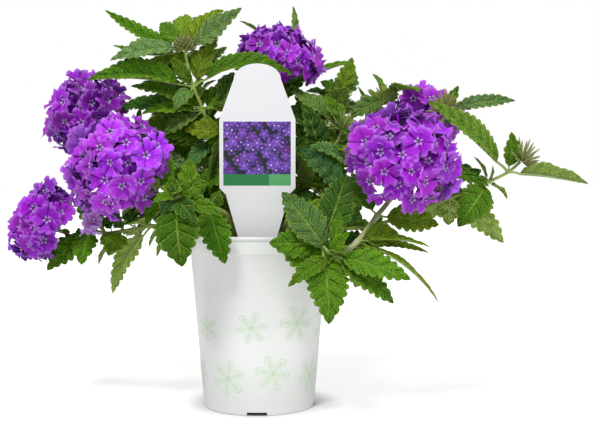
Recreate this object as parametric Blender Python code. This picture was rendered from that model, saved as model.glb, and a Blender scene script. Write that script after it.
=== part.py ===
"""A potted verbena: leafy shoots with their flower heads in a plastic nursery pot, with a stake label.

Metres, +Z up. The origin is the middle of the pot's underside. The viewer stands on -Y, with +X to the right.
The pot, the soil and the label are turned or extruded from their real sizes. The plant is placed by
hand from its front view: a place there is a column and a row of the 600 x 434 view, with a depth in
millimetres behind the pot's axis, and seen() turns it into a point in space.
"""

from dataclasses import dataclass
from math import cos, pi, radians, sin, sqrt, tan

import bmesh
import bpy
from mathutils import Matrix, Vector
from mathutils.bvhtree import BVHTree

MM = 0.001

# Pot and soil
POT_HEIGHT = 125.6 * MM
RIM_RADIUS = 52.0 * MM
FOOT_RADIUS = 40.2 * MM
WALL = 1.0 * MM
FLOOR = 1.4 * MM
COLLAR_HEIGHT = 12.4 * MM
WALL_SLOPE = 0.086
POT_SIDES = 32
DRAIN_WIDTH = 14.0 * MM
DRAIN_HEIGHT = 2.6 * MM
DRAINS = 4
SOIL_TOP = 112.0 * MM
SOIL_SIDES = 22
GAP = 0.3 * MM

# Stake label
LABEL_DEPTH = -38.0 * MM
LABEL_MIDDLE = 0.5 * MM
LABEL_THICKNESS = 0.8 * MM

# Front view
AXIS_COLUMN = 259
FOOT_ROW = 405
METRES_PER_PIXEL = 0.7324 * MM
VIEW_DISTANCE = 0.723
VIEW_RIGHT = 0.030
EYE_HEIGHT = 0.1604

# Plant
STEM_RADIUS = 1.7 * MM
STEM_TIP_RADIUS = 1.1 * MM
STEM_ROOT = 88.0 * MM
LEAF_RIB = 1.5 * MM
PETIOLE = 1.1 * MM
BLADE_START = 0.15
TOOTH_LEAN = 0.72
TOOTH_REACH = 0.07
NOTCH_REACH = 0.84
SHORT_LEAF = 40.0 * MM
LONG_LEAF = 72.0 * MM
ROOT_FACES = 22
CLEARANCE = 0.4 * MM
FLORET_RADIUS = 10.4 * MM
FLORET_THROAT = 1.9 * MM
CORE_SHARE = 0.62
BUD_SHARE = 0.42
NUDGE_REACHES = (4, 8, 12, 17, 23, 30)
GOLDEN_ANGLE = pi * (3 - sqrt(5))

POT_WHITE = (0.84, 0.85, 0.83)
LABEL_WHITE = (0.82, 0.82, 0.84)
SOIL_BROWN = (0.045, 0.028, 0.018)
LEAF_GREEN = (0.10, 0.22, 0.035)
PETAL_VIOLET = (0.30, 0.03, 0.62)


def seen(column, row, depth):
    """The point that the front view shows at this column and row, so many millimetres behind the axis."""
    away = (VIEW_DISTANCE + depth * MM) / VIEW_DISTANCE
    across = (column - AXIS_COLUMN) * METRES_PER_PIXEL
    up = (FOOT_ROW - row) * METRES_PER_PIXEL
    return Vector(
        (
            VIEW_RIGHT + (across - VIEW_RIGHT) * away,
            depth * MM,
            EYE_HEIGHT + (up - EYE_HEIGHT) * away,
        )
    )


@dataclass
class Leaf:
    """A leaf from one of its shoot's nodes: its tip in the front view and its width in millimetres.

    facing turns the upper side towards the viewer (1) or the underside (-1), and 0 leaves it facing
    up and outwards. fold is the angle by which each half rises from the midrib, and arch lifts the
    middle of the midrib by that share of the length.
    """

    node: int
    tip: tuple
    depth: float
    width: float
    facing: float = 0.0
    fold: float = 18.0
    arch: float = 0.08


@dataclass
class Shoot:
    """A leafy stem: where it leaves the soil (millimetres from the axis), its nodes, and what ends it."""

    root: tuple
    nodes: list
    leaves: list
    bloom: str = ""
    side_bloom: tuple = ()
    bud_radius: float = 0.0


@dataclass
class Bloom:
    """A flower head: its middle in the front view, its radius in millimetres and where it looks."""

    middle: tuple
    radius: float
    looks: tuple
    florets: int
    squash: float = 0.9
    lowest: float = -0.42


BLOOMS = {
    "left_front": Bloom((118, 167, -48), 36, (-0.45, -0.75, 0.45), 17),
    "left_high": Bloom((89, 116, 18), 32, (-0.60, -0.25, 0.65), 16),
    "left_low": Bloom((44, 224, -5), 29, (-0.85, -0.30, 0.42), 13, 0.75),
    "top": Bloom((280, 61, 36), 33, (0.10, -0.30, 0.95), 17, 0.78),
    "right_front": Bloom((402, 160, -62), 38, (0.15, -0.70, 0.70), 19),
    "right_back": Bloom((425, 119, 16), 26, (0.40, 0.10, 0.90), 11),
    "left_small": Bloom((92, 221, -20), 9, (-0.30, -0.85, 0.10), 3, 0.8, 0.4),
}

SHOOTS = {
    "upper_left": Shoot(
        root=(-14, 4),
        nodes=[(226, 190, -2), (212, 140, -4), (204, 112, -6), (194, 88, -8), (188, 66, -8), (185, 50, -8)],
        bud_radius=9,
        leaves=[
            Leaf(3, (88, 81), -22, 22, 0.45, 40),
            Leaf(3, (294, 76), -12, 21, 0.3, 24, 0.20),
            Leaf(5, (106, 11), 8, 12, 0.4, 38, -0.12),
            Leaf(5, (111, 61), -24, 19, 0.5),
            Leaf(5, (242, 9), -20, 21, 0.5, 16, -0.05),
            Leaf(3, (175, 111), -22, 14, 0.6),
            Leaf(2, (130, 86), -14, 19, 0.3),
            Leaf(2, (142, 114), -18, 16, 0.4),
            Leaf(5, (224, 11), 14, 18, 0.6, 14),
            Leaf(5, (114, 46), 18, 14, 0.1, 18, -0.08),
            Leaf(5, (209, 76), 4, 15, -0.6),
            Leaf(2, (231, 84), -4, 17, 0.5),
            Leaf(3, (228, 49), 12, 16, 0.5),
            Leaf(2, (117, 110), 16, 20, 0.4),
        ],
    ),
    "front_left": Shoot(
        root=(-16, -20),
        nodes=[(228, 216, -34), (209, 206, -52), (190, 199, -64), (176, 197, -72)],
        leaves=[
            Leaf(3, (182, 267), -84, 30, 0.6, 12, 0.12),
            Leaf(1, (225, 264), -64, 20, 0.6, 12, 0.10),
            Leaf(3, (222, 215), -88, 12, 0.6),
            Leaf(3, (209, 182), -80, 13, 0.6),
            Leaf(3, (153, 202), -88, 9, 0.5),
            Leaf(3, (171, 175), -76, 9, 0.5),
            Leaf(2, (196, 176), -56, 13),
            Leaf(2, (190, 158), -60, 14, 0.3),
        ],
    ),
    "front_right": Shoot(
        root=(12, -22),
        nodes=[(286, 222, -34), (296, 225, -50), (322, 247, -72), (331, 256, -79)],
        leaves=[
            Leaf(1, (318, 288), -78, 33, 0.6, 12, 0.14),
            Leaf(2, (329, 325), -92, 27, 0.5, 12, 0.12),
            Leaf(2, (269, 243), -72, 20, 0.7),
            Leaf(3, (282, 192), -64, 23, 0.6, 14, 0.04),
            Leaf(3, (411, 280), -92, 20, 0.5, 14),
            Leaf(3, (288, 287), -98, 12, 0.4, 24),
            Leaf(3, (394, 304), -84, 18, 0.5, 16),
            Leaf(3, (340, 211), -74, 9, 0.4),
            Leaf(3, (350, 232), -94, 9, 0.4),
            Leaf(2, (346, 174), -50, 24, 0.5, 14),
        ],
    ),
    "right_front": Shoot(
        root=(20, -16),
        nodes=[(284, 228, -26), (306, 234, -42), (330, 244, -58), (345, 249, -63), (357, 242, -62), (377, 216, -46)],
        bloom="right_front",
        leaves=[
            Leaf(3, (429, 253), -46, 10, 0.2, 26),
            Leaf(4, (439, 303), -62, 8, 0.0, 26, 0.10),
            Leaf(4, (430, 247), -66, 11),
            Leaf(5, (439, 225), -44, 19, 0.7),
            Leaf(5, (345, 182), -40, 16, 0.4),
        ],
    ),
    "right_long": Shoot(
        root=(30, -6),
        nodes=[
            (302, 226, -12),
            (340, 229, -20),
            (375, 225, -27),
            (411, 213, -31),
            (450, 198, -33),
            (474, 188, -34),
            (488, 182, -34),
            (508, 172, -34),
            (520, 162, -34),
        ],
        bud_radius=12,
        leaves=[
            Leaf(7, (426, 101), -46, 19, 0.5, 36, 0.03),
            Leaf(7, (588, 184), -42, 18, -0.2, 34, 0.03),
            Leaf(7, (511, 132), -38, 13, 0.6),
            Leaf(6, (458, 227), -54, 23, 0.5, 14, 0.10),
            Leaf(4, (504, 243), -38, 20, -0.6),
            Leaf(6, (507, 199), -22, 9),
            Leaf(6, (474, 157), -34, 8),
            Leaf(5, (412, 215), -24, 25, -0.8),
            Leaf(5, (455, 165), -12, 20, 0.5),
        ],
    ),
    "right_high": Shoot(
        root=(24, 0),
        nodes=[(300, 222, -4), (345, 195, -10), (392, 166, -14), (425, 143, -18), (441, 122, -20), (444, 112, -20)],
        bud_radius=11,
        leaves=[
            Leaf(5, (515, 101), -14, 12, 0.5),
            Leaf(2, (487, 186), -34, 19, 0.5),
            Leaf(5, (458, 86), -18, 8, 0.0, 22, -0.10),
            Leaf(4, (462, 128), -34, 9),
            Leaf(1, (297, 148), -22, 22, 0.5),
        ],
    ),
    "left_front": Shoot(
        root=(-22, -8),
        nodes=[(224, 214, -18), (198, 204, -26), (170, 196, -28)],
        bloom="left_front",
        leaves=[
            Leaf(2, (166, 142), -22, 15, 0.4),
            Leaf(2, (146, 226), -50, 15, 0.4),
            Leaf(1, (192, 164), -36, 17, 0.5),
            Leaf(0, (196, 236), -34, 17, 0.4),
        ],
    ),
    "left_low": Shoot(
        root=(-28, 2),
        nodes=[(215, 222, -4), (180, 224, -10), (152, 226, -14), (122, 231, -10), (104, 233, -5), (90, 230, 0)],
        bloom="left_low",
        side_bloom=(4, "left_small"),
        leaves=[
            Leaf(2, (112, 294), -24, 17, -0.5, 14, 0.14),
            Leaf(2, (125, 225), -38, 15, 0.3),
            Leaf(3, (108, 256), -22, 19, 0.8),
            Leaf(5, (81, 265), -20, 19, 0.8, 16),
            Leaf(5, (45, 271), -16, 18, 0.8, 14),
            Leaf(4, (77, 190), -10, 16, 0.4),
        ],
    ),
    "left_high": Shoot(
        root=(-20, 12),
        nodes=[(222, 205, 14), (190, 174, 24), (154, 158, 28)],
        bloom="left_high",
        leaves=[
            Leaf(2, (140, 103), 8, 13, 0.4),
            Leaf(2, (172, 100), 44, 19, 0.4),
            Leaf(1, (203, 124), 36, 19, 0.4),
            Leaf(1, (168, 122), 12, 19, 0.5),
            Leaf(1, (146, 196), 34, 18, 0.2),
            Leaf(2, (120, 172), 50, 16),
        ],
    ),
    "middle": Shoot(
        root=(10, 0),
        nodes=[(272, 215, 2), (295, 190, 4), (320, 164, 2), (337, 142, 0), (341, 130, 0)],
        bud_radius=11,
        leaves=[
            Leaf(2, (302, 104), -8, 22, 0.5),
            Leaf(4, (324, 96), 2, 17, 0.4),
            Leaf(2, (348, 206), -24, 18, 0.5),
            Leaf(1, (304, 205), -28, 17, 0.3),
            Leaf(1, (274, 168), -16, 15),
        ],
    ),
    "middle_high": Shoot(
        root=(8, 20),
        nodes=[(275, 200, 28), (300, 152, 38), (325, 120, 42), (338, 101, 44)],
        bud_radius=9,
        leaves=[
            Leaf(3, (353, 68), 52, 18, 0.5),
            Leaf(3, (306, 92), 56, 19, 0.4),
            Leaf(2, (330, 172), 30, 19, 0.4),
            Leaf(2, (362, 132), 20, 17, 0.4),
            Leaf(1, (262, 140), 54, 16),
        ],
    ),
    "centre_left": Shoot(
        root=(-8, -8),
        nodes=[(247, 205, -14), (234, 170, -16), (226, 135, -14), (224, 112, -12)],
        leaves=[
            Leaf(3, (234, 76), -18, 16, 0.5),
            Leaf(2, (210, 178), -26, 15, -0.3),
            Leaf(2, (184, 130), -14, 18, 0.5),
            Leaf(3, (206, 88), 2, 18, 0.4),
            Leaf(1, (198, 182), -30, 19, 0.5),
            Leaf(1, (212, 116), 0, 17, 0.4),
            Leaf(2, (258, 150), -4, 16, 0.2),
        ],
    ),
    "top": Shoot(
        root=(2, 12),
        nodes=[(262, 205, 18), (266, 165, 28), (271, 130, 36)],
        bloom="top",
        leaves=[
            Leaf(2, (334, 120), 14, 22, 0.5),
            Leaf(2, (232, 92), 36, 17, 0.4),
            Leaf(1, (318, 142), 12, 20, 0.5),
        ],
    ),
    "right_back": Shoot(
        root=(18, 8),
        nodes=[(290, 218, 8), (318, 190, 12), (352, 168, 14), (386, 162, 14)],
        bloom="right_back",
        leaves=[
            Leaf(2, (301, 147), -14, 17, 0.5),
            Leaf(2, (352, 204), 22, 16),
            Leaf(3, (392, 194), 28, 15),
            Leaf(1, (340, 228), 8, 15),
        ],
    ),
    "top_back": Shoot(
        root=(6, 32),
        nodes=[(263, 200, 50), (274, 150, 62), (284, 96, 68), (288, 64, 68)],
        leaves=[
            Leaf(3, (293, 7), 64, 11, 0.3),
            Leaf(3, (240, 22), 72, 13, 0.3),
            Leaf(2, (353, 59), 54, 17, 0.4),
            Leaf(2, (234, 70), 66, 17, 0.2),
            Leaf(1, (330, 118), 72, 18, 0.2),
        ],
    ),
    "right_top": Shoot(
        root=(16, 18),
        nodes=[(292, 205, 24), (332, 168, 32), (366, 126, 38), (384, 99, 38)],
        bud_radius=8,
        leaves=[
            Leaf(3, (350, 118), 24, 16, 0.5),
            Leaf(3, (417, 104), -12, 14, 0.5),
            Leaf(3, (372, 74), 44, 12, 0.3),
        ],
    ),
    "back_left": Shoot(
        root=(-14, 26),
        nodes=[(237, 202, 42), (208, 174, 62), (178, 152, 80)],
        bud_radius=8,
        leaves=[
            Leaf(1, (165, 205), 84, 16),
            Leaf(1, (232, 140), 92, 15),
            Leaf(0, (205, 222), 72, 16),
            Leaf(2, (148, 172), 102, 14),
            Leaf(2, (196, 122), 100, 14),
            Leaf(2, (146, 126), 72, 13),
        ],
    ),
    "back_right": Shoot(
        root=(16, 26),
        nodes=[(285, 202, 44), (322, 174, 66), (352, 154, 84)],
        bud_radius=8,
        leaves=[
            Leaf(1, (366, 208), 84, 16),
            Leaf(1, (300, 132), 92, 15),
            Leaf(0, (316, 224), 72, 16),
            Leaf(2, (392, 176), 100, 14),
            Leaf(2, (330, 122), 108, 14),
            Leaf(2, (388, 130), 74, 13),
        ],
    ),
    "back_middle": Shoot(
        root=(0, 32),
        nodes=[(258, 204, 54), (254, 170, 78), (252, 144, 98)],
        bud_radius=9,
        leaves=[
            Leaf(1, (216, 188), 112, 15),
            Leaf(1, (296, 184), 112, 15),
            Leaf(0, (232, 232), 84, 15),
            Leaf(0, (288, 228), 88, 15),
            Leaf(2, (230, 108), 116, 14),
            Leaf(2, (280, 110), 120, 14),
            Leaf(2, (258, 186), 140, 14),
        ],
    ),
}


def clear_scene():
    for item in list(bpy.data.objects):
        bpy.data.objects.remove(item, do_unlink=True)


def material(name, colour, roughness):
    """A plain plastic, leaf, petal or soil surface."""
    made = bpy.data.materials.new(name)
    made.use_nodes = True
    made.diffuse_color = (*colour, 1)
    surface = made.node_tree.nodes["Principled BSDF"]
    surface.inputs["Base Color"].default_value = (*colour, 1)
    surface.inputs["Roughness"].default_value = roughness
    surface.inputs["Metallic"].default_value = 0.0
    return made


def object_from(name, points, faces, collection=None):
    """An object with these points and faces, facing out."""
    mesh = bpy.data.meshes.new(name)
    mesh.from_pydata([tuple(point) for point in points], [], faces)
    shaped = bmesh.new()
    shaped.from_mesh(mesh)
    bmesh.ops.recalc_face_normals(shaped, faces=shaped.faces)
    shaped.to_mesh(mesh)
    shaped.free()
    made = bpy.data.objects.new(name, mesh)
    (collection or bpy.context.scene.collection).objects.link(made)
    return made


def settle(target):
    """Applies the modifiers of an object."""
    bpy.context.view_layer.update()
    graph = bpy.context.evaluated_depsgraph_get()
    finished = bpy.data.meshes.new_from_object(target.evaluated_get(graph))
    target.modifiers.clear()
    target.data = finished


def keep_largest(target):
    """Drops the loose scraps and the sealed hollows that a union can leave."""
    shaped = bmesh.new()
    shaped.from_mesh(target.data)
    unseen = set(shaped.faces)
    bodies = []
    while unseen:
        body, edge_of = set(), [unseen.pop()]
        while edge_of:
            face = edge_of.pop()
            body.add(face)
            for edge in face.edges:
                fresh = [other for other in edge.link_faces if other in unseen]
                unseen.difference_update(fresh)
                edge_of.extend(fresh)
        bodies.append(body)
    bodies.sort(key=len)
    for body in bodies[:-1]:
        bmesh.ops.delete(shaped, geom=list(body), context="FACES")
    shaped.to_mesh(target.data)
    shaped.free()


def fuse(target, shapes):
    """Joins (points, faces) shapes to an object with one union, and removes what they were made from."""
    pieces = bpy.data.collections.new("pieces")
    bpy.context.scene.collection.children.link(pieces)
    for points, faces in shapes:
        object_from("piece", points, faces, pieces)
    union = target.modifiers.new("fused", "BOOLEAN")
    union.operation = "UNION"
    union.operand_type = "COLLECTION"
    union.collection = pieces
    settle(target)
    keep_largest(target)
    for piece in list(pieces.objects):
        bpy.data.objects.remove(piece, do_unlink=True)
    bpy.data.collections.remove(pieces)


def cut(target, cutters):
    """Cuts objects out of another, and removes them."""
    for cutter in cutters:
        cutter.hide_render = True
        cutter.display_type = "WIRE"
        difference = target.modifiers.new("cut", "BOOLEAN")
        difference.operation = "DIFFERENCE"
        difference.object = cutter
    settle(target)
    for cutter in cutters:
        bpy.data.objects.remove(cutter, do_unlink=True)


def turned(name, profile, sides):
    """A profile of (radius, height) points, from the top of its outer side down, turned round the axis."""
    mesh = bpy.data.meshes.new(name)
    edges = [(i, i + 1) for i in range(len(profile) - 1)]
    mesh.from_pydata([(radius, 0, height) for radius, height in profile], edges, [])
    made = bpy.data.objects.new(name, mesh)
    bpy.context.scene.collection.objects.link(made)
    screw = made.modifiers.new("turned", "SCREW")
    screw.steps = sides
    screw.render_steps = sides
    screw.use_merge_vertices = True
    screw.merge_threshold = 0.0001
    settle(made)
    return made


def box(name, lowest, highest):
    """A box between two corners."""
    made = bpy.data.objects.new(name, bpy.data.meshes.new(name))
    bpy.context.scene.collection.objects.link(made)
    shaped = bmesh.new()
    size = Vector(highest) - Vector(lowest)
    middle = (Vector(highest) + Vector(lowest)) / 2
    bmesh.ops.create_cube(shaped, size=1, matrix=Matrix.Translation(middle) @ Matrix.Diagonal((*size, 1)))
    shaped.to_mesh(made.data)
    shaped.free()
    return made


def finish(target, surface, sharp_angle):
    """Gives an object its material and smooth shading, with edges past this angle kept sharp."""
    target.data.materials.clear()
    target.data.materials.append(surface)
    target.data.shade_smooth()
    target.data.set_sharp_from_angle(angle=radians(sharp_angle))


def wall_radius(height):
    """The outer radius of the pot's plain wall."""
    return FOOT_RADIUS + WALL_SLOPE * height


def pot():
    collar = POT_HEIGHT - COLLAR_HEIGHT
    lip = 2.2 * MM
    foot = 0.9 * MM
    ridge = 0.7 * MM
    profile = [
        (RIM_RADIUS - 1.6 * MM, POT_HEIGHT),
        (RIM_RADIUS - 0.4 * MM, POT_HEIGHT),
        (RIM_RADIUS, POT_HEIGHT - 0.5 * MM),
        (RIM_RADIUS, POT_HEIGHT - lip),
        (wall_radius(POT_HEIGHT - lip) + 0.2 * MM, POT_HEIGHT - lip - 0.5 * MM),
        (wall_radius(collar) + ridge, collar),
        (wall_radius(collar), collar - 1.0 * MM),
        (wall_radius(foot), foot),
        (FOOT_RADIUS - foot, 0),
        (0, 0),
        (0, FLOOR),
        (FOOT_RADIUS - WALL - foot, FLOOR),
        (wall_radius(2 * foot) - WALL, FLOOR + foot),
        (wall_radius(collar) - WALL, collar),
        (RIM_RADIUS - 2.2 * MM, POT_HEIGHT - 0.6 * MM),
        (RIM_RADIUS - 1.6 * MM, POT_HEIGHT),
    ]
    made = turned("pot", profile, POT_SIDES)
    drains = []
    for i in range(DRAINS):
        drain = box("drain", (0.84 * FOOT_RADIUS, -DRAIN_WIDTH / 2, -MM), (1.2 * FOOT_RADIUS, DRAIN_WIDTH / 2, DRAIN_HEIGHT))
        drain.data.transform(Matrix.Rotation(-pi / 2 + 2 * pi * i / DRAINS, 4, "Z"))
        drains.append(drain)
    cut(made, drains)
    finish(made, material("pot_plastic", POT_WHITE, 0.35), 35)
    return made


def label_outline():
    """Half-widths and heights of the label, from its rounded top down to the point of its stake."""
    shoulder = (16.3 * MM, 234.3 * MM)
    apex_height = 245.0 * MM
    crown = []
    for i in range(4):
        turn = i / 4 * pi / 2
        crown.append((shoulder[0] * sin(turn), shoulder[1] + (apex_height - shoulder[1]) * cos(turn)))
    return crown + [
        shoulder,
        (26.4 * MM, 206.4 * MM),
        (26.4 * MM, 158.9 * MM),
        (21.9 * MM, 154.3 * MM),
        (20.5 * MM, 149.0 * MM),
        (13.6 * MM, 125.0 * MM),
        (11.6 * MM, SOIL_TOP),
        (7.0 * MM, 90.0 * MM),
        (0.0, 74.0 * MM),
    ]


def label():
    half = label_outline()
    right = [(width, height) for width, height in half]
    left = [(-width, height) for width, height in reversed(half) if width]
    outline = right + left
    shaped = bmesh.new()
    front = LABEL_DEPTH - LABEL_THICKNESS / 2
    ring = [shaped.verts.new((LABEL_MIDDLE + width, front, height)) for width, height in outline]
    face = shaped.faces.new(ring)
    grown = bmesh.ops.extrude_face_region(shaped, geom=[face])
    moved = [item for item in grown["geom"] if isinstance(item, bmesh.types.BMVert)]
    bmesh.ops.translate(shaped, verts=moved, vec=(0, LABEL_THICKNESS, 0))
    bmesh.ops.recalc_face_normals(shaped, faces=shaped.faces)
    made = bpy.data.objects.new("label", bpy.data.meshes.new("label"))
    shaped.to_mesh(made.data)
    shaped.free()
    bpy.context.scene.collection.objects.link(made)
    finish(made, material("label_plastic", LABEL_WHITE, 0.4), 30)
    return made


def soil():
    """The potting mix: a plug with a lumpy top and a plain hole for each stem and for the stake."""
    floor = FLOOR + GAP
    bottom_radius = wall_radius(floor) - WALL - 2.6 * GAP
    top_radius = wall_radius(SOIL_TOP) - WALL - 2 * GAP
    profile = [
        (top_radius, SOIL_TOP - 1.0 * MM),
        (bottom_radius, floor + 2 * MM),
        (bottom_radius - 2 * MM, floor),
        (0, floor),
    ]
    rings = [(0.82 * top_radius, SOIL_TOP), (0.4 * top_radius, SOIL_TOP + 1.4 * MM), (0, SOIL_TOP + 1.0 * MM)]
    made = turned("soil", list(reversed(rings)) + profile, SOIL_SIDES)
    holes = []
    side = STEM_RADIUS * sqrt(0.5) + GAP + 0.1 * MM
    for shoot in SHOOTS.values():
        x, y = shoot.root[0] * MM, shoot.root[1] * MM
        holes.append(box("hole", (x - side, y - side, STEM_ROOT - 0.5 * MM), (x + side, y + side, SOIL_TOP + 9 * MM)))
    stake = 11.6 * MM + 1.0 * MM
    thick = LABEL_THICKNESS / 2 + GAP
    holes.append(
        box(
            "stake_slot",
            (LABEL_MIDDLE - stake, LABEL_DEPTH - thick, 73.0 * MM),
            (LABEL_MIDDLE + stake, LABEL_DEPTH + thick, SOIL_TOP + 9 * MM),
        )
    )
    cut(made, holes)
    finish(made, material("potting_mix", SOIL_BROWN, 0.95), 25)
    return made


def neck(name):
    """The last points of a stem, which comes up behind its flower head and ends just short of the core."""
    bloom = BLOOMS[name]
    middle = seen(*bloom.middle)
    looks = Vector(bloom.looks).normalized()
    return [middle - looks * bloom.radius * MM, middle - looks * (core_radius(bloom) * bloom.squash + GAP)]


def stem_routes(shoot):
    """A shoot's stem, from down in the soil to its last node or its flower head, and its side stem."""
    x, y = shoot.root[0] * MM, shoot.root[1] * MM
    main = [Vector((x, y, STEM_ROOT)), Vector((x, y, SOIL_TOP + 4 * MM))]
    main += [seen(*node) for node in shoot.nodes]
    if shoot.bloom:
        main += neck(shoot.bloom)
    routes = [main]
    if shoot.side_bloom:
        node, name = shoot.side_bloom
        routes.append([seen(*shoot.nodes[node])] + neck(name))
    return routes


def stem(route):
    """A square stem along a route, thinner towards its end."""
    points, faces = [], []
    across = Vector((1, 0, 0))
    for i, place in enumerate(route):
        ahead = (route[min(i + 1, len(route) - 1)] - route[max(i - 1, 0)]).normalized()
        across = (across - ahead * across.dot(ahead)).normalized()
        beside = ahead.cross(across)
        share = i / (len(route) - 1)
        radius = STEM_RADIUS + (STEM_TIP_RADIUS - STEM_RADIUS) * share
        for corner in range(4):
            turn = pi / 4 + corner * pi / 2
            points.append(place + (across * cos(turn) + beside * sin(turn)) * radius)
    for i in range(len(route) - 1):
        for corner in range(4):
            following = (corner + 1) % 4
            faces.append((4 * i + corner, 4 * i + following, 4 * i + 4 + following, 4 * i + 4 + corner))
    last = 4 * len(route) - 4
    faces += [(3, 2, 1, 0), (last, last + 1, last + 2, last + 3)]
    return points, faces


def half_profile(along):
    """Half the width of a blade at a share of its length, as a share of the widest half."""
    return sin(pi * along**0.72) ** 0.8 if 0 < along < 1 else 0.0


def upper_side(start, ahead, facing):
    """Where a leaf's upper side looks: up and outwards, turned towards the viewer by its facing."""
    outwards = Vector((start.x, start.y, 0))
    outwards = outwards.normalized() if outwards.length > 0 else Vector((0, -1, 0))
    natural = Vector((0, 0, 0.8)) + outwards * 0.45
    viewer = Vector((0, -1, 0)) if facing > 0 else Vector((0, 1, 0))
    wanted = natural * (1 - abs(facing)) + viewer * abs(facing)
    return (wanted - ahead * wanted.dot(ahead)).normalized()


def blade(start, tip, leaf, swell=0.0):
    """A toothed leaf on a short stalk, as points and triangles, alike on its two faces.

    Each station along the midrib has a left notch, an upper rib point, a right notch and a lower rib
    point. Between two stations each side has a tooth. swell thickens and widens the leaf.
    """
    length = (tip - start).length
    ahead = (tip - start) / length
    normal = upper_side((start + tip) / 2, ahead, leaf.facing)
    side = ahead.cross(normal)
    half = leaf.width * MM / 2 + swell
    teeth = 3 if length < SHORT_LEAF else 4 if length < LONG_LEAF else 5
    rise = tan(radians(leaf.fold))

    def rib(share):
        return start + ahead * length * share + normal * leaf.arch * length * 4 * share * (1 - share)

    def margin(along, reach, hand):
        wide = max(PETIOLE + swell, half * reach)
        share = BLADE_START + (1 - BLADE_START) * along
        return rib(share) + side * hand * wide + normal * wide * rise

    def thickness(along):
        return LEAF_RIB * (1 - 0.5 * along) + 2 * swell

    points, faces = [], []

    def station(share, along):
        lowered = normal * thickness(along)
        top = rib(share) + normal * swell
        reach = NOTCH_REACH * half_profile(along)
        points.extend([margin(along, reach, -1), top, margin(along, reach, 1), top - lowered])

    top = rib(0) + normal * (0.4 * MM + swell)
    points.extend([top - side * PETIOLE, top + normal * 0.2 * MM, top + side * PETIOLE, top - normal * thickness(0)])
    faces += [(0, 1, 2), (0, 2, 3)]
    for i in range(teeth):
        along = i / teeth
        station(BLADE_START + (1 - BLADE_START) * along, along)
    for corner in range(4):
        following = (corner + 1) % 4
        faces += [(corner, 4 + corner, 4 + following), (corner, 4 + following, following)]
    points.append(tip + ahead * swell)
    last = len(points) - 1
    for i in range(teeth):
        tooth_along = (i + TOOTH_LEAN) / teeth
        reach = half_profile(tooth_along) + TOOTH_REACH
        ended = i == teeth - 1
        for hand, notch in ((-1, 4 * i + 4), (1, 4 * i + 6)):
            points.append(margin(tooth_along, reach, hand))
            tooth = len(points) - 1
            for rib_point in (4 * i + 5, 4 * i + 7):
                rib_after = last if ended else rib_point + 4
                faces += [(rib_point, notch, tooth), (rib_point, tooth, rib_after)]
                if not ended:
                    faces.append((rib_after, tooth, notch + 4))
    return points, faces


def core_radius(bloom):
    return bloom.radius * MM * CORE_SHARE


def round_core(middle, radius, looks, squash):
    """The round middle of a flower head, from which its florets stand out."""
    shaped = bmesh.new()
    bmesh.ops.create_icosphere(shaped, subdivisions=1, radius=1)
    turn = looks.to_track_quat("Z", "Y").to_matrix().to_4x4()
    place = Matrix.Translation(middle) @ turn @ Matrix.Diagonal((radius, radius, radius * squash, 1))
    points = [place @ vertex.co for vertex in shaped.verts]
    faces = [tuple(vertex.index for vertex in face.verts) for face in shaped.faces]
    shaped.free()
    return points, faces


def floret(place, looks, spin, radius, root):
    """A floret: five broad petals round a throat, on a tube that ends at its root in the core."""
    aside = looks.orthogonal().normalized()
    upright = looks.cross(aside)
    outline = []
    for petal in range(5):
        turn = spin + petal * 2 * pi / 5
        for angle, share, lift in ((-36, 0.5, -0.08), (-27, 1.0, 0.0), (27, 1.0, 0.0)):
            around = turn + radians(angle)
            spoke = (aside * cos(around) + upright * sin(around)) * radius * share
            outline.append(place + spoke + looks * radius * lift)
    points = outline + [place - looks * radius * 0.12]
    for corner in range(3):
        around = spin + corner * 2 * pi / 3
        spoke = (aside * cos(around) + upright * sin(around)) * FLORET_THROAT
        points.append(place + spoke - looks * radius * 0.36)
    points.append(root)
    rim = len(outline)
    eye, throat, end = rim, rim + 1, rim + 4
    faces = [(i, (i + 1) % rim, eye) for i in range(rim)]
    for corner in range(3):
        first = 5 * corner
        ring, following = throat + corner, throat + (corner + 1) % 3
        faces += [((i + 1) % rim, i % rim, ring) for i in range(first - 2, first + 3)]
        faces.append((ring, following, (first + 3) % rim))
        faces.append((following, ring, end))
    return points, faces


def bloom_shapes(bloom):
    """The core and the florets of a head, spread by the golden angle down past its widest ring."""
    middle = seen(*bloom.middle)
    looks = Vector(bloom.looks).normalized()
    turn = looks.to_track_quat("Z", "Y")
    radius = bloom.radius * MM
    shapes = [round_core(middle, core_radius(bloom), looks, bloom.squash)]
    for i in range(bloom.florets):
        height = 1 - (i + 0.5) / bloom.florets * (1 - bloom.lowest)
        around = i * GOLDEN_ANGLE
        flat = sqrt(1 - height * height)
        outward = turn @ Vector((flat * cos(around), flat * sin(around), height))
        squashed = turn @ Vector((flat * cos(around), flat * sin(around), height * bloom.squash))
        step = 0.94 if i % 2 else 1.0
        place = middle + squashed * radius * step * 0.93
        shapes.append(floret(place, outward, i * 1.1, FLORET_RADIUS, middle + squashed * core_radius(bloom) * 0.7))
    return shapes


def bud_cluster(place, looks, radius):
    """Pointed green buds round the end of a shoot: an icosphere with its twelve corners drawn out."""
    shaped = bmesh.new()
    bmesh.ops.create_icosphere(shaped, subdivisions=2, radius=1)
    turn = (looks + Vector((0, 0, 1))).to_track_quat("Z", "Y")
    points = []
    for vertex in shaped.verts:
        corner = len(vertex.link_edges) == 5
        points.append(place + turn @ vertex.co.normalized() * radius * (1.0 if corner else BUD_SHARE))
    faces = [tuple(vertex.index for vertex in face.verts) for face in shaped.faces]
    shaped.free()
    return points, faces


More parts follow.
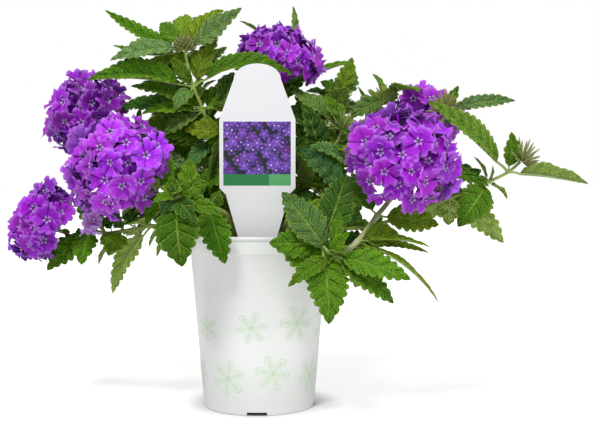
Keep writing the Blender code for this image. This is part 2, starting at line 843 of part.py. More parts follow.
def nudges():
    """Moves of a leaf's tip, smallest first, and those along the line of sight before the others."""
    yield Vector((0, 0, 0))
    for reach in NUDGE_REACHES:
        for across, up in ((0, 0), (0.5, 0), (-0.5, 0), (0, 0.6), (0, -0.6)):
            for depth in (-1, 1):
                yield Vector((across, depth, up)) * reach * MM


def surface_of(shape, first_face=0):
    points, faces = shape
    return BVHTree.FromPolygons(points, faces[first_face:])


def bent_clear(start, leaf, others, siblings):
    """The leaf's shape with its tip moved until the leaf crosses no neighbour, or crosses least.

    Leaves of one shoot may touch at their roots, where they are fused, and not beyond.
    """
    tip = seen(*leaf.tip, leaf.depth)
    best, fewest = None, None
    for nudge in nudges():
        swollen = blade(start, tip + nudge, leaf, CLEARANCE)
        whole = surface_of(swollen)
        outer = surface_of(swollen, ROOT_FACES)
        crossings = sum(len(whole.overlap(other)) for other in others)
        crossings += sum(len(outer.overlap(sibling)) for sibling in siblings)
        if fewest is None or crossings < fewest:
            best, fewest = nudge, crossings
        if not crossings:
            break
    return blade(start, tip + best, leaf), fewest


def plant(fixed):
    """Heads, stems and buds first, and then the leaves, each bent clear of what is there already."""
    blooms = {name: bloom_shapes(bloom) for name, bloom in BLOOMS.items()}
    shoots = {}
    for name, shoot in SHOOTS.items():
        routes = stem_routes(shoot)
        shapes = [stem(route) for route in routes]
        if shoot.bud_radius:
            route = routes[0]
            looks = (route[-1] - route[-2]).normalized()
            shapes.append(bud_cluster(route[-1] + looks * 0.3 * shoot.bud_radius * MM, looks, shoot.bud_radius * MM))
        shoots[name] = shapes
    taken = [(None, surface) for surface in fixed]
    for shapes in blooms.values():
        taken += [(None, surface_of(shape)) for shape in shapes]
    for name, shapes in shoots.items():
        taken += [(name, surface_of(shape)) for shape in shapes]
    for name, shoot in SHOOTS.items():
        siblings = []
        for leaf in shoot.leaves:
            others = [surface for owner, surface in taken if owner != name]
            shape, crossings = bent_clear(seen(*shoot.nodes[leaf.node]), leaf, others, siblings)
            if crossings:
                print(f"{name}: the leaf to {leaf.tip} still crosses something")
            shoots[name].append(shape)
            taken.append((name, surface_of(shape)))
            siblings.append(surface_of(shape, ROOT_FACES))
    leaf_look = material("leaf_green", LEAF_GREEN, 0.6)
    petal_look = material("petal_violet", PETAL_VIOLET, 0.6)
    for name, shapes in shoots.items():
        made = object_from(f"shoot_{name}", *shapes[0])
        fuse(made, shapes[1:])
        finish(made, leaf_look, 30)
    for name, shapes in blooms.items():
        made = object_from(f"bloom_{name}", *shapes[0])
        fuse(made, shapes[1:])
        finish(made, petal_look, 30)


def surface_of_object(item):
    mesh = item.data
    return BVHTree.FromPolygons([v.co for v in mesh.vertices], [tuple(p.vertices) for p in mesh.polygons])


clear_scene()
plant([surface_of_object(item) for item in (pot(), label(), soil())])
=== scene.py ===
# %% [markdown]
# A verbena in its nursery pot.
# The plant, its flower heads, the pot, the potting mix and the stake label are built as fine pieces around
# the packed model. The packed model is loaded first, as a frame in metres with +Z up, and everything
# afterwards is placed in that frame.

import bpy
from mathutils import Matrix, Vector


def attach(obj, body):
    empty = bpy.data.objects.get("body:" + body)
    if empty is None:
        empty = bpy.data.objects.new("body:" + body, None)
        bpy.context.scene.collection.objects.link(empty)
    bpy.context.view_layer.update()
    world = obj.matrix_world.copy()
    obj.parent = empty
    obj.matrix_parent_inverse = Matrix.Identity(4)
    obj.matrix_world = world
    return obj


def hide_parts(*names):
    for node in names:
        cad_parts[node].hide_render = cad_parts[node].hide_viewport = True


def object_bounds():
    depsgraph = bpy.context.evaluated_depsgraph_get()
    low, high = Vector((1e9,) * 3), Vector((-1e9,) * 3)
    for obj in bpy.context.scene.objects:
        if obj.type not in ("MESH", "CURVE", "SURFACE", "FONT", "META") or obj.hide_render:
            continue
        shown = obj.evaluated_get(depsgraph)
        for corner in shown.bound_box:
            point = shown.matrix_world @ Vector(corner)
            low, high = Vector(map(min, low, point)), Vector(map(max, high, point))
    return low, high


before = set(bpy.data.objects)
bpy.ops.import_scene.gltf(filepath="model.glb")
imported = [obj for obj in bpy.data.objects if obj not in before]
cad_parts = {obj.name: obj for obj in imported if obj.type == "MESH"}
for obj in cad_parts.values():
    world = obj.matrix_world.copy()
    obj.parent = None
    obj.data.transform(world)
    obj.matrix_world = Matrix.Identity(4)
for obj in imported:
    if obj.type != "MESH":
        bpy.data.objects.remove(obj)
packed_box = [list(corner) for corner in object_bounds()]

import random
from dataclasses import dataclass
from math import atan, cos, exp, pi, radians, sin, sqrt, tan

import bmesh
import bpy
from mathutils import Euler, Matrix, Vector
from mathutils import noise as rough
from mathutils.bvhtree import BVHTree
from mathutils.geometry import interpolate_bezier

MM = 0.001
dice = random.Random(29)
print("nodes in the frame:", len(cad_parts))

# %% [markdown]
# The camera comes first, because the plant was placed in its front view. A lens of 59 mm at 72 cm gives the
# same perspective as the photograph: the pot's rim and foot show as narrow ellipses, and the leaves that
# reach forward look a little larger than those behind.

# %% Camera
VIEW_DISTANCE = 0.723
VIEW_RIGHT = 0.030
EYE_HEIGHT = 0.1604
FOCAL_PIXELS = 987
FRAME_PIXELS = 600
HORIZON_DROP = 31
SENSOR_WIDTH = 36
FARTHEST = 200

camera = bpy.data.objects.new("camera", bpy.data.cameras.new("camera"))
camera.data.sensor_width = SENSOR_WIDTH
camera.data.lens = FOCAL_PIXELS / FRAME_PIXELS * SENSOR_WIDTH
camera.data.clip_end = FARTHEST
camera.location = (VIEW_RIGHT, -VIEW_DISTANCE, EYE_HEIGHT)
camera.rotation_euler = (pi / 2 - atan(HORIZON_DROP / FOCAL_PIXELS), 0, 0)
bpy.context.scene.collection.objects.link(camera)
bpy.context.scene.camera = camera
print("lens in mm:", round(camera.data.lens, 1))

# %% [markdown]
# A product photograph is lit by big soft boxes in front of a white wall. The room gives an even fill, and
# two soft suns, a strong one from the upper left and a weak one from the right, model the leaves. The
# wall is lit on its own in such a studio, so the room is brighter where the camera looks at it than in
# the light that it gives.

# %% Light and floor
scene = bpy.context.scene
scene.view_settings.view_transform = "Standard"
ROOM_FILL = 0.53
FLOOR_HALF = 60
world = bpy.data.worlds.new("white_room")
world.use_nodes = True
room = world.node_tree
seen_directly = room.nodes.new("ShaderNodeLightPath").outputs["Is Camera Ray"]
strength = room.nodes.new("ShaderNodeMapRange")
strength.inputs["To Min"].default_value = ROOM_FILL
room.links.new(seen_directly, strength.inputs["Value"])
room.links.new(strength.outputs["Result"], room.nodes["Background"].inputs["Strength"])
room.nodes["Background"].inputs["Color"].default_value = (1, 1, 1, 1)
scene.world = world


def soft_sun(name, direction, spread, power):
    """A sun that shines along a direction, as soft as its spread in degrees."""
    lamp = bpy.data.lights.new(name, "SUN")
    lamp.angle = radians(spread)
    lamp.energy = power
    made = bpy.data.objects.new(name, lamp)
    made.rotation_euler = Vector(direction).to_track_quat("-Z", "Y").to_euler()
    scene.collection.objects.link(made)


soft_sun("key", (0.28, 0.80, -1.15), 16, 1.9)
soft_sun("side", (-0.9, 0.60, -0.50), 40, 0.6)

floor_shape = bmesh.new()
bmesh.ops.create_grid(floor_shape, x_segments=1, y_segments=1, size=FLOOR_HALF)
floor = bpy.data.objects.new("floor", bpy.data.meshes.new("floor"))
floor_shape.to_mesh(floor.data)
floor_shape.free()
scene.collection.objects.link(floor)

# %% [markdown]
# A material is easier to read as arithmetic than as a list of links. Wire wraps one socket of a node, and
# adding, multiplying or comparing wires adds the Math nodes that do it.

# %% Shader arithmetic


class Wire:
    """One socket of a material's nodes. Arithmetic on it adds Math nodes."""

    def __init__(self, finish, socket):
        self.finish = finish
        self.socket = socket

    def maths(self, operation, *values):
        inputs = dict(enumerate(values))
        return self.finish.node("ShaderNodeMath", {"operation": operation}, inputs)

    def output(self, index):
        return Wire(self.finish, self.socket.node.outputs[index])

    def __add__(self, other):
        return self.maths("ADD", self, other)

    def __sub__(self, other):
        return self.maths("SUBTRACT", self, other)

    def __rsub__(self, other):
        return self.maths("SUBTRACT", other, self)

    def __mul__(self, other):
        return self.maths("MULTIPLY", self, other)

    def __truediv__(self, other):
        return self.maths("DIVIDE", self, other)

    def __pow__(self, other):
        return self.maths("POWER", self, other)

    def __lt__(self, other):
        return self.maths("LESS_THAN", self, other)

    def __gt__(self, other):
        return self.maths("GREATER_THAN", self, other)

    def __abs__(self):
        return self.maths("ABSOLUTE", self)

    __radd__ = __add__
    __rmul__ = __mul__

    def step(self, low, high):
        """0 below low, 1 above high, and a smooth rise between them."""
        settings = {"interpolation_type": "SMOOTHSTEP"}
        return self.finish.node("ShaderNodeMapRange", settings, {0: self, 1: low, 2: high})

    def line(self, inner, outer):
        """1 where the value is within inner of 0, falling to 0 at outer on both sides."""
        return 1 - abs(self).step(inner, outer)


print("arithmetic on wires:", Wire.__doc__)

# %% [markdown]
# Colours are written as the screen shows them and turned into the linear values that a material takes.
# Finish holds one material. Its node method adds any node from its type, its settings and its inputs,
# and the other methods are the nodes that nearly every finish needs.

# %% Finishes


def display(red, green, blue):
    """The linear colour of one that the screen shows, given from 0 to 255."""
    linear = [((c / 255 + 0.055) / 1.055) ** 2.4 if c > 10 else c / 3294 for c in (red, green, blue)]
    return (*linear, 1.0)


class Finish:
    """One material, with a method for its nodes."""

    def __init__(self, name, roughness=0.5, **fixed):
        self.material = bpy.data.materials.new(name)
        self.material.use_nodes = True
        self.surface = self.material.node_tree.nodes["Principled BSDF"]
        self.surface.inputs["Roughness"].default_value = roughness
        for socket, value in fixed.items():
            self.surface.inputs[socket.replace("_", " ")].default_value = value

    def node(self, kind, settings=None, inputs=None, output=0):
        made = self.material.node_tree.nodes.new(kind)
        for name, value in (settings or {}).items():
            setattr(made, name, value)
        for name, value in (inputs or {}).items():
            if isinstance(value, Wire):
                self.material.node_tree.links.new(value.socket, made.inputs[name])
            else:
                made.inputs[name].default_value = value
        return Wire(self, made.outputs[output])

    def mix(self, share, first, second, blend="MIX"):
        """Two colours mixed by a share."""
        settings = {"data_type": "RGBA", "blend_type": blend}
        return self.node("ShaderNodeMix", settings, {0: share, 6: first, 7: second}, 2)

    def times(self, first, second):
        """Two colours multiplied, which makes both darker."""
        return self.mix(1.0, first, second, "MULTIPLY")

    def place(self):
        """The point of the surface in the piece's own coordinates, in metres."""
        return self.node("ShaderNodeTexCoord", output=3)

    def noise(self, scale, detail=3.0, where=None):
        inputs = {"Vector": where or self.place(), "Scale": scale, "Detail": detail}
        return self.node("ShaderNodeTexNoise", {}, inputs)

    def apart(self, vector):
        """The three numbers of a vector."""
        split = self.node("ShaderNodeSeparateXYZ", {}, {0: vector})
        return split, split.output(1), split.output(2)

    def feed(self, socket, wire):
        self.material.node_tree.links.new(wire.socket, self.surface.inputs[socket])

    def relief(self, height, depth):
        """A bump of this depth in metres, where the height is 1."""
        self.feed("Normal", self.node("ShaderNodeBump", {}, {"Distance": depth, "Height": height}))


print("white on the screen is", display(255, 255, 255))

# %% [markdown]
# The floor is pale and matt, and it has to stay white up to the horizon, as a lit sweep of paper does. So
# it glows a little, and it gives almost none of that glow to the plant. Round the pot the glow fades away,
# a painted shade that deepens the soft shadow at the foot and keeps the drain notches dark.

# %% Floor finish
FLOOR_GLOW = 0.50
FLOOR_GIVES = (30, 30, 30)
POT_SHADE = (38 * MM, 70 * MM)
floor_finish = Finish("pale_floor", 0.85, Emission_Strength=FLOOR_GLOW)
looked_at = floor_finish.node("ShaderNodeLightPath")
floor_x, floor_y, _ = floor_finish.apart(floor_finish.place())
# Painted shade: the glow fades out round the pot's foot.
clear_of_pot = ((floor_x * floor_x + floor_y * floor_y) ** 0.5).step(*POT_SHADE)
glow = floor_finish.mix(looked_at * clear_of_pot, display(*FLOOR_GIVES), (1, 1, 1, 1))
floor_finish.feed("Emission Color", glow)
paper = floor_finish.mix(floor_finish.noise(3.0), display(230, 230, 230), display(235, 235, 235))
floor_finish.feed("Base Color", paper)
floor.data.materials.append(floor_finish.material)
print("materials:", len(bpy.data.materials))

# %% [markdown]
# The plant was placed from its front view: a place is a column and a row of the 600 x 434 frame with a
# depth in millimetres behind the pot's axis. seen() turns that into a point in metres, with the same camera
# as above, so each leaf of the scene starts and ends where the packed model has it.

# %% Places in the front view
AXIS_COLUMN = 259
FOOT_ROW = 405
METRES_PER_PIXEL = 0.7324 * MM


def seen(column, row, depth):
    """The point that the front view shows at this column and row, so many millimetres behind the axis."""
    away = (VIEW_DISTANCE + depth * MM) / VIEW_DISTANCE
    across = (column - AXIS_COLUMN) * METRES_PER_PIXEL
    up = (FOOT_ROW - row) * METRES_PER_PIXEL
    return Vector(
        (VIEW_RIGHT + (across - VIEW_RIGHT) * away, depth * MM, EYE_HEIGHT + (up - EYE_HEIGHT) * away)
    )


@dataclass
class Leaf:
    """A leaf from one of its shoot's nodes: its tip in the front view and its width in millimetres.

    facing turns the upper side towards the viewer (1) or the underside (-1). fold is the angle by which
    each half rises from the midrib, and arch lifts the middle of the midrib by that share of the length.
    """

    node: int
    tip: tuple
    depth: float
    width: float
    facing: float = 0.0
    fold: float = 18.0
    arch: float = 0.08
    tone: str = "fresh"


@dataclass
class Shoot:
    """A leafy stem: where it leaves the mix (millimetres from the axis), its nodes, and what ends it.

    fill is the share of the places for tufts of little leaves that are tried, stout how thick the stem is
    beside the others, and skin the tone of the stem. The leaves in more are in the scene alone.
    """

    root: tuple
    nodes: list
    leaves: list
    bloom: str = ""
    side_bloom: tuple = ()
    bud_radius: float = 0.0
    buds: str = "green_bud"
    fill: float = 0.6
    stout: float = 1.0
    skin: str = "stem"
    more: tuple = ()


@dataclass
class Bloom:
    """A flower head: its middle in the front view, its radius in millimetres and where it looks."""

    middle: tuple
    radius: float
    looks: tuple
    florets: int
    squash: float = 0.9
    lowest: float = -0.42
    tone: str = "violet"


print("the pot's foot is seen at", seen(AXIS_COLUMN, FOOT_ROW, 0))

# %% [markdown]
# The table of the flower heads comes first. A head is nearly round, and a squash flattens it along the
# way it looks. The head at the front left is the lightest, and the small one is only opening.

# %% Table of flower heads
BLOOMS = {
    "left_front": Bloom((118, 167, -48), 36, (-0.45, -0.75, 0.45), 17, tone="light_violet"),
    "left_high": Bloom((89, 116, 18), 32, (-0.60, -0.25, 0.65), 16, tone="magenta"),
    "left_low": Bloom((44, 224, -5), 29, (-0.85, -0.30, 0.42), 13, 0.75, tone="magenta"),
    "top": Bloom((280, 61, 36), 33, (0.10, -0.30, 0.95), 17, 0.78),
    "right_front": Bloom((402, 160, -62), 38, (0.15, -0.70, 0.70), 19),
    "right_back": Bloom((425, 119, 16), 26, (0.40, 0.10, 0.90), 11),
    "left_small": Bloom((92, 221, -20), 9, (-0.30, -0.85, 0.10), 3, 0.8, 0.4, "lilac"),
}
print("heads:", ", ".join(BLOOMS))

# %% [markdown]
# Now the shoots, in groups. The first four carry what the front view shows best: the tall shoot with pale
# leaves at the upper left, the two that hang over the rim with their broad leaves, and the thick stem of
# the large head on the right.

# %% Shoots at the upper left and at the front
SHOOTS = {
    "upper_left": Shoot(
        root=(-14, 4),
        nodes=[
            (226, 190, -2),
            (212, 140, -4),
            (204, 112, -6),
            (194, 88, -8),
            (188, 66, -8),
            (185, 50, -8),
        ],
        bud_radius=9,
        buds="brown_bud",
        fill=0.25,
        leaves=[
            Leaf(3, (88, 81), -22, 22, 0.45, 40, tone="fresh"),
            Leaf(3, (294, 76), -12, 21, 0.3, 24, 0.20),
            Leaf(5, (106, 11), 8, 12, 0.4, 38, -0.12),
            Leaf(5, (111, 61), -24, 19, 0.5, tone="silver"),
            Leaf(5, (242, 9), -20, 21, 0.5, 16, -0.05, tone="silver"),
            Leaf(3, (175, 111), -22, 14, 0.6, tone="grey"),
            Leaf(2, (130, 86), -14, 19, 0.3),
            Leaf(2, (142, 114), -18, 16, 0.4),
            Leaf(5, (224, 11), 14, 18, 0.6, 14, tone="olive"),
            Leaf(5, (114, 46), 18, 14, 0.1, 18, -0.08),
            Leaf(5, (209, 76), 4, 15, -0.6, tone="pale"),
            Leaf(2, (231, 84), -4, 17, 0.5),
            Leaf(3, (228, 49), 12, 16, 0.5, tone="grey"),
            Leaf(2, (117, 110), 16, 20, 0.4, tone="dark"),
        ],
        more=[
            Leaf(3, (171, 58), -14, 10, 0.5),
            Leaf(4, (176, 52), 6, 11, 0.5, tone="olive"),
            Leaf(3, (211, 40), 10, 17, 0.6, 12, tone="olive"),
            Leaf(4, (143, 58), 12, 14, 0.4, tone="olive"),
            Leaf(2, (143, 82), 16, 14, 0.4, tone="dark"),
            Leaf(2, (158, 85), 10, 14, 0.4),
            Leaf(2, (171, 81), 18, 12, 0.5, tone="olive"),
            Leaf(2, (149, 104), 4, 17, 0.5, tone="young"),
            Leaf(2, (164, 136), -14, 17, 0.5, tone="grey"),
            Leaf(2, (200, 88), 14, 14, 0.4, tone="young"),
            Leaf(1, (180, 112), 10, 18, 0.4, tone="grey"),
            Leaf(1, (148, 124), 12, 18, 0.5, tone="fresh"),
            Leaf(1, (158, 140), 4, 16, 0.5, tone="young"),
            Leaf(1, (232, 128), 14, 16, 0.5, tone="olive"),
            Leaf(1, (190, 172), -20, 15, 0.5, tone="blue"),
            Leaf(2, (138, 119), 26, 20, 0.3, tone="olive"),
            Leaf(2, (134, 93), 12, 15, 0.5, tone="young"),
            Leaf(1, (142, 122), 2, 18, 0.6, tone="fresh"),
            Leaf(5, (184, 16), 26, 18, 0.6, tone="olive"),
            Leaf(5, (162, 25), 22, 13, 0.5),
        ],
    ),
    "front_left": Shoot(
        root=(-16, -20),
        nodes=[(228, 216, -34), (209, 206, -52), (190, 199, -64), (176, 197, -72)],
        leaves=[
            Leaf(3, (182, 267), -84, 30, 0.6, 12, 0.12, "deep"),
            Leaf(1, (225, 264), -64, 20, 0.6, 12, 0.10, "deep"),
            Leaf(3, (222, 215), -88, 12, 0.6),
            Leaf(3, (209, 182), -80, 13, 0.6),
            Leaf(3, (153, 202), -88, 9, 0.5),
            Leaf(3, (171, 175), -76, 9, 0.5),
            Leaf(2, (196, 176), -56, 13),
            Leaf(2, (190, 158), -60, 14, 0.3),
        ],
        more=[
            Leaf(3, (196, 222), -88, 14, 0.6, tone="dark"),
            Leaf(3, (160, 214), -84, 14, 0.6, tone="blue"),
        ],
    ),
    "front_right": Shoot(
        root=(12, -22),
        nodes=[(286, 222, -34), (296, 225, -50), (322, 247, -72), (331, 256, -79)],
        leaves=[
            Leaf(1, (318, 288), -78, 33, 0.6, 12, 0.14),
            Leaf(2, (329, 325), -92, 27, 0.5, 12, 0.12, "bright"),
            Leaf(2, (269, 243), -72, 20, 0.7),
            Leaf(3, (282, 192), -64, 23, 0.6, 14, 0.04, tone="grey"),
            Leaf(3, (411, 280), -92, 20, 0.5, 14, tone="bright"),
            Leaf(3, (288, 287), -98, 12, 0.4, 24),
            Leaf(3, (394, 304), -84, 18, 0.5, 16, tone="bright"),
            Leaf(3, (340, 211), -74, 9, 0.4),
            Leaf(3, (350, 232), -94, 9, 0.4),
            Leaf(2, (346, 174), -50, 24, 0.5, 14, tone="dark"),
        ],
    ),
    "right_front": Shoot(
        root=(20, -16),
        nodes=[
            (284, 228, -26),
            (306, 234, -42),
            (330, 244, -58),
            (345, 249, -63),
            (357, 242, -62),
            (377, 216, -46),
        ],
        bloom="right_front",
        stout=1.6,
        skin="pale_stem",
        leaves=[
            Leaf(3, (429, 253), -46, 10, 0.2, 26, tone="olive"),
            Leaf(4, (439, 303), -62, 8, 0.0, 26, 0.10, tone="olive"),
            Leaf(4, (430, 247), -66, 11, tone="olive"),
            Leaf(5, (439, 225), -44, 19, 0.7, tone="olive"),
            Leaf(5, (345, 182), -40, 16, 0.4),
        ],
        more=[
            Leaf(4, (399, 233), -54, 17, 0.6, tone="olive"),
        ],
    ),
}
print("shoots so far:", len(SHOOTS))

# %% [markdown]
# Two shoots reach out to the right, and both end in a cluster of buds. The long one is the widest point
# of the plant, and some of its leaves show their pale undersides.

# %% Shoots that reach to the right
SHOOTS |= {
    "right_long": Shoot(
        root=(30, -6),
        nodes=[
            (302, 226, -12),
            (340, 229, -20),
            (375, 225, -27),
            (411, 213, -31),
            (450, 198, -33),
            (474, 188, -34),
            (488, 182, -34),
            (508, 172, -34),
            (520, 162, -34),
        ],
        bud_radius=12,
        buds="purple_bud",
        leaves=[
            Leaf(7, (426, 101), -46, 19, 0.5, 36, 0.03, tone="young"),
            Leaf(7, (588, 184), -42, 18, -0.2, 34, 0.03, tone="young"),
            Leaf(7, (511, 132), -38, 13, 0.6),
            Leaf(6, (458, 227), -54, 23, 0.5, 14, 0.10),
            Leaf(4, (504, 243), -38, 20, -0.6, tone="pale"),
            Leaf(6, (507, 199), -22, 9, tone="olive"),
            Leaf(6, (474, 157), -34, 8),
            Leaf(5, (412, 215), -24, 25, -0.8, tone="pale"),
            Leaf(5, (455, 165), -12, 20, 0.5, tone="dark"),
        ],
        more=[
            Leaf(4, (441, 225), -18, 17, -0.7, tone="pale"),
        ],
    ),
    "right_high": Shoot(
        root=(24, 0),
        nodes=[
            (300, 222, -4),
            (345, 195, -10),
            (392, 166, -14),
            (425, 143, -18),
            (441, 122, -20),
            (444, 112, -20),
        ],
        bud_radius=11,
        buds="purple_bud",
        leaves=[
            Leaf(5, (515, 101), -14, 12, 0.5, tone="silver"),
            Leaf(2, (487, 186), -34, 19, 0.5),
            Leaf(5, (458, 86), -18, 8, 0.0, 22, -0.10),
            Leaf(4, (462, 128), -34, 9),
            Leaf(1, (297, 148), -22, 22, 0.5, tone="blue"),
        ],
    ),
}
print("shoots so far:", len(SHOOTS))

# %% [markdown]
# The three shoots on the left hold up a head each, and the low one has a small second head on its side.

# %% Shoots on the left
SHOOTS |= {
    "left_front": Shoot(
        root=(-22, -8),
        nodes=[(224, 214, -18), (198, 204, -26), (170, 196, -28)],
        bloom="left_front",
        leaves=[
            Leaf(2, (166, 142), -22, 15, 0.4),
            Leaf(2, (146, 226), -50, 15, 0.4),
            Leaf(1, (192, 164), -36, 17, 0.5),
            Leaf(0, (196, 236), -34, 17, 0.4),
        ],
    ),
    "left_low": Shoot(
        root=(-28, 2),
        nodes=[
            (215, 222, -4),
            (180, 224, -10),
            (152, 226, -14),
            (122, 231, -10),
            (104, 233, -5),
            (90, 230, 0),
        ],
        bloom="left_low",
        side_bloom=(4, "left_small"),
        leaves=[
            Leaf(2, (112, 294), -24, 17, -0.5, 14, 0.14, tone="pale"),
            Leaf(2, (125, 225), -38, 15, 0.3),
            Leaf(3, (108, 256), -22, 19, 0.8, tone="olive"),
            Leaf(5, (81, 265), -20, 19, 0.8, 16),
            Leaf(5, (45, 271), -16, 18, 0.8, 14),
            Leaf(4, (77, 190), -10, 16, 0.4),
        ],
    ),
    "left_high": Shoot(
        root=(-20, 12),
        nodes=[(222, 205, 14), (190, 174, 24), (154, 158, 28)],
        bloom="left_high",
        leaves=[
            Leaf(2, (140, 103), 8, 13, 0.4),
            Leaf(2, (172, 100), 44, 19, 0.4),
            Leaf(1, (203, 124), 36, 19, 0.4),
            Leaf(1, (168, 122), 12, 19, 0.5),
            Leaf(1, (146, 196), 34, 18, 0.2),
            Leaf(2, (120, 172), 50, 16),
        ],
        more=[
            Leaf(2, (193, 169), -16, 14, 0.7, tone="silver"),
            Leaf(1, (178, 148), -6, 15, 0.5, tone="blue"),
            Leaf(2, (133, 110), 30, 20, 0.4, tone="dark"),
        ],
    ),
}
print("shoots so far:", len(SHOOTS))

# %% [markdown]
# Behind the label stand the shoots of the middle. Their leaves are seen between the others, darker and
# bluer. The one called top carries the head above the label, and right_back the head behind the large one.

# %% Shoots in the middle
SHOOTS |= {
    "middle": Shoot(
        root=(10, 0),
        nodes=[(272, 215, 2), (295, 190, 4), (320, 164, 2), (337, 142, 0), (341, 130, 0)],
        bud_radius=11,
        leaves=[
            Leaf(2, (302, 104), -8, 22, 0.5, tone="dark"),
            Leaf(4, (324, 96), 2, 17, 0.4),
            Leaf(2, (348, 206), -24, 18, 0.5, tone="blue"),
            Leaf(1, (304, 205), -28, 17, 0.3, tone="dark"),
            Leaf(1, (274, 168), -16, 15),
        ],
        more=[
            Leaf(4, (289, 92), 26, 19, 0.5, tone="grey"),
        ],
    ),
    "middle_high": Shoot(
        root=(8, 20),
        nodes=[(275, 200, 28), (300, 152, 38), (325, 120, 42), (338, 101, 44)],
        bud_radius=9,
        leaves=[
            Leaf(3, (353, 68), 52, 18, 0.5, tone="grey"),
            Leaf(3, (306, 92), 56, 19, 0.4),
            Leaf(2, (330, 172), 30, 19, 0.4),
            Leaf(2, (362, 132), 20, 17, 0.4),
            Leaf(1, (262, 140), 54, 16),
        ],
        more=[
            Leaf(3, (320, 82), 38, 19, 0.5),
            Leaf(3, (352, 58), 48, 14, 0.6, tone="olive"),
        ],
    ),
    "centre_left": Shoot(
        root=(-8, -8),
        nodes=[(247, 205, -14), (234, 170, -16), (226, 135, -14), (224, 112, -12)],
        leaves=[
            Leaf(3, (234, 76), -18, 16, 0.5, tone="dark"),
            Leaf(2, (210, 178), -26, 15, -0.3, tone="dark"),
            Leaf(2, (184, 130), -14, 18, 0.5, tone="olive"),
            Leaf(3, (206, 88), 2, 18, 0.4, tone="blue"),
            Leaf(1, (198, 182), -30, 19, 0.5),
            Leaf(1, (212, 116), 0, 17, 0.4),
            Leaf(2, (258, 150), -4, 16, 0.2),
        ],
        more=[
            Leaf(3, (240, 71), 6, 18, 0.5, tone="dark"),
        ],
    ),
    "top": Shoot(
        root=(2, 12),
        nodes=[(262, 205, 18), (266, 165, 28), (271, 130, 36)],
        bloom="top",
        leaves=[
            Leaf(2, (334, 120), 14, 22, 0.5, tone="dark"),
            Leaf(2, (232, 92), 36, 17, 0.4),
            Leaf(1, (318, 142), 12, 20, 0.5, tone="dark"),
        ],
    ),
    "right_back": Shoot(
        root=(18, 8),
        nodes=[(290, 218, 8), (318, 190, 12), (352, 168, 14), (386, 162, 14)],
        bloom="right_back",
        leaves=[
            Leaf(2, (301, 147), -14, 17, 0.5, tone="grey"),
            Leaf(2, (352, 204), 22, 16),
            Leaf(3, (392, 194), 28, 15),
            Leaf(1, (340, 228), 8, 15),
        ],
    ),
}
print("shoots so far:", len(SHOOTS))

# %% [markdown]
# The last shoots are behind, and the photograph shows only the tips of a few. They close the back of the
# plant, so it is as leafy there as at the front.

# %% Shoots at the back
SHOOTS |= {
    "top_back": Shoot(
        root=(6, 32),
        nodes=[(263, 200, 50), (274, 150, 62), (284, 96, 68), (288, 64, 68)],
        leaves=[
            Leaf(3, (293, 7), 64, 11, 0.3),
            Leaf(3, (240, 22), 72, 13, 0.3),
            Leaf(2, (353, 59), 54, 17, 0.4),
            Leaf(2, (234, 70), 66, 17, 0.2),
            Leaf(1, (330, 118), 72, 18, 0.2),
        ],
    ),
    "right_top": Shoot(
        root=(16, 18),
        nodes=[(292, 205, 24), (332, 168, 32), (366, 126, 38), (384, 99, 38)],
        bud_radius=8,
        leaves=[
            Leaf(3, (350, 118), 24, 16, 0.5, tone="grey"),
            Leaf(3, (417, 104), -12, 14, 0.5),
            Leaf(3, (372, 74), 44, 12, 0.3),
        ],
    ),
    "back_left": Shoot(
        root=(-14, 26),
        nodes=[(237, 202, 42), (208, 174, 62), (178, 152, 80)],
        bud_radius=8,
        leaves=[
            Leaf(1, (165, 205), 84, 16),
            Leaf(1, (232, 140), 92, 15),
            Leaf(0, (205, 222), 72, 16),
            Leaf(2, (148, 172), 102, 14),
            Leaf(2, (196, 122), 100, 14),
            Leaf(2, (146, 126), 72, 13),
        ],
    ),
    "back_right": Shoot(
        root=(16, 26),
        nodes=[(285, 202, 44), (322, 174, 66), (352, 154, 84)],
        bud_radius=8,
        leaves=[
            Leaf(1, (366, 208), 84, 16),
            Leaf(1, (300, 132), 92, 15),
            Leaf(0, (316, 224), 72, 16),
            Leaf(2, (392, 176), 100, 14),
            Leaf(2, (330, 122), 108, 14),
            Leaf(2, (388, 130), 74, 13),
        ],
    ),
    "back_middle": Shoot(
        root=(0, 32),
        nodes=[(258, 204, 54), (254, 170, 78), (252, 144, 98)],
        bud_radius=9,
        leaves=[
            Leaf(1, (216, 188), 112, 15),
            Leaf(1, (296, 184), 112, 15),
            Leaf(0, (232, 232), 84, 15),
            Leaf(0, (288, 228), 88, 15),
            Leaf(2, (230, 108), 116, 14),
            Leaf(2, (280, 110), 120, 14),
            Leaf(2, (258, 186), 140, 14),
        ],
    ),
}
print("shoots:", len(SHOOTS), "leaves:", sum(len(s.leaves) + len(s.more) for s in SHOOTS.values()))

# %% [markdown]
# Three of the packed model's rules are repeated here, because a fine leaf has to lie where its solid does:
# the outline of a blade, the side to which its upper face looks, and the small moves of a tip that keep a
# leaf clear of its neighbours. Which move was used isn't stored anywhere, but the tip of the solid leaf is
# a corner of its shoot's mesh, so the first move that lands on such a corner is the right one.

# %% Where each leaf ends
BLADE_START = 0.15
BLADE_LEAN = 0.72
BLADE_FULLNESS = 0.8
NUDGE_REACHES = (4, 8, 12, 17, 23, 30)
TIP_TOLERANCE = 0.1 * MM


def half_profile(along):
    """Half the width of a blade at a share of its length, as a share of the widest half."""
    return sin(pi * along**BLADE_LEAN) ** BLADE_FULLNESS if 0 < along < 1 else 0.0


def upper_side(middle, ahead, facing):
    """Where a leaf's upper side looks: up and outwards, turned towards the viewer by its facing."""
    outwards = Vector((middle.x, middle.y, 0))
    outwards = outwards.normalized() if outwards.length > 0 else Vector((0, -1, 0))
    natural = Vector((0, 0, 0.8)) + outwards * 0.45
    viewer = Vector((0, -1, 0)) if facing > 0 else Vector((0, 1, 0))
    wanted = natural * (1 - abs(facing)) + viewer * abs(facing)
    return (wanted - ahead * wanted.dot(ahead)).normalized()


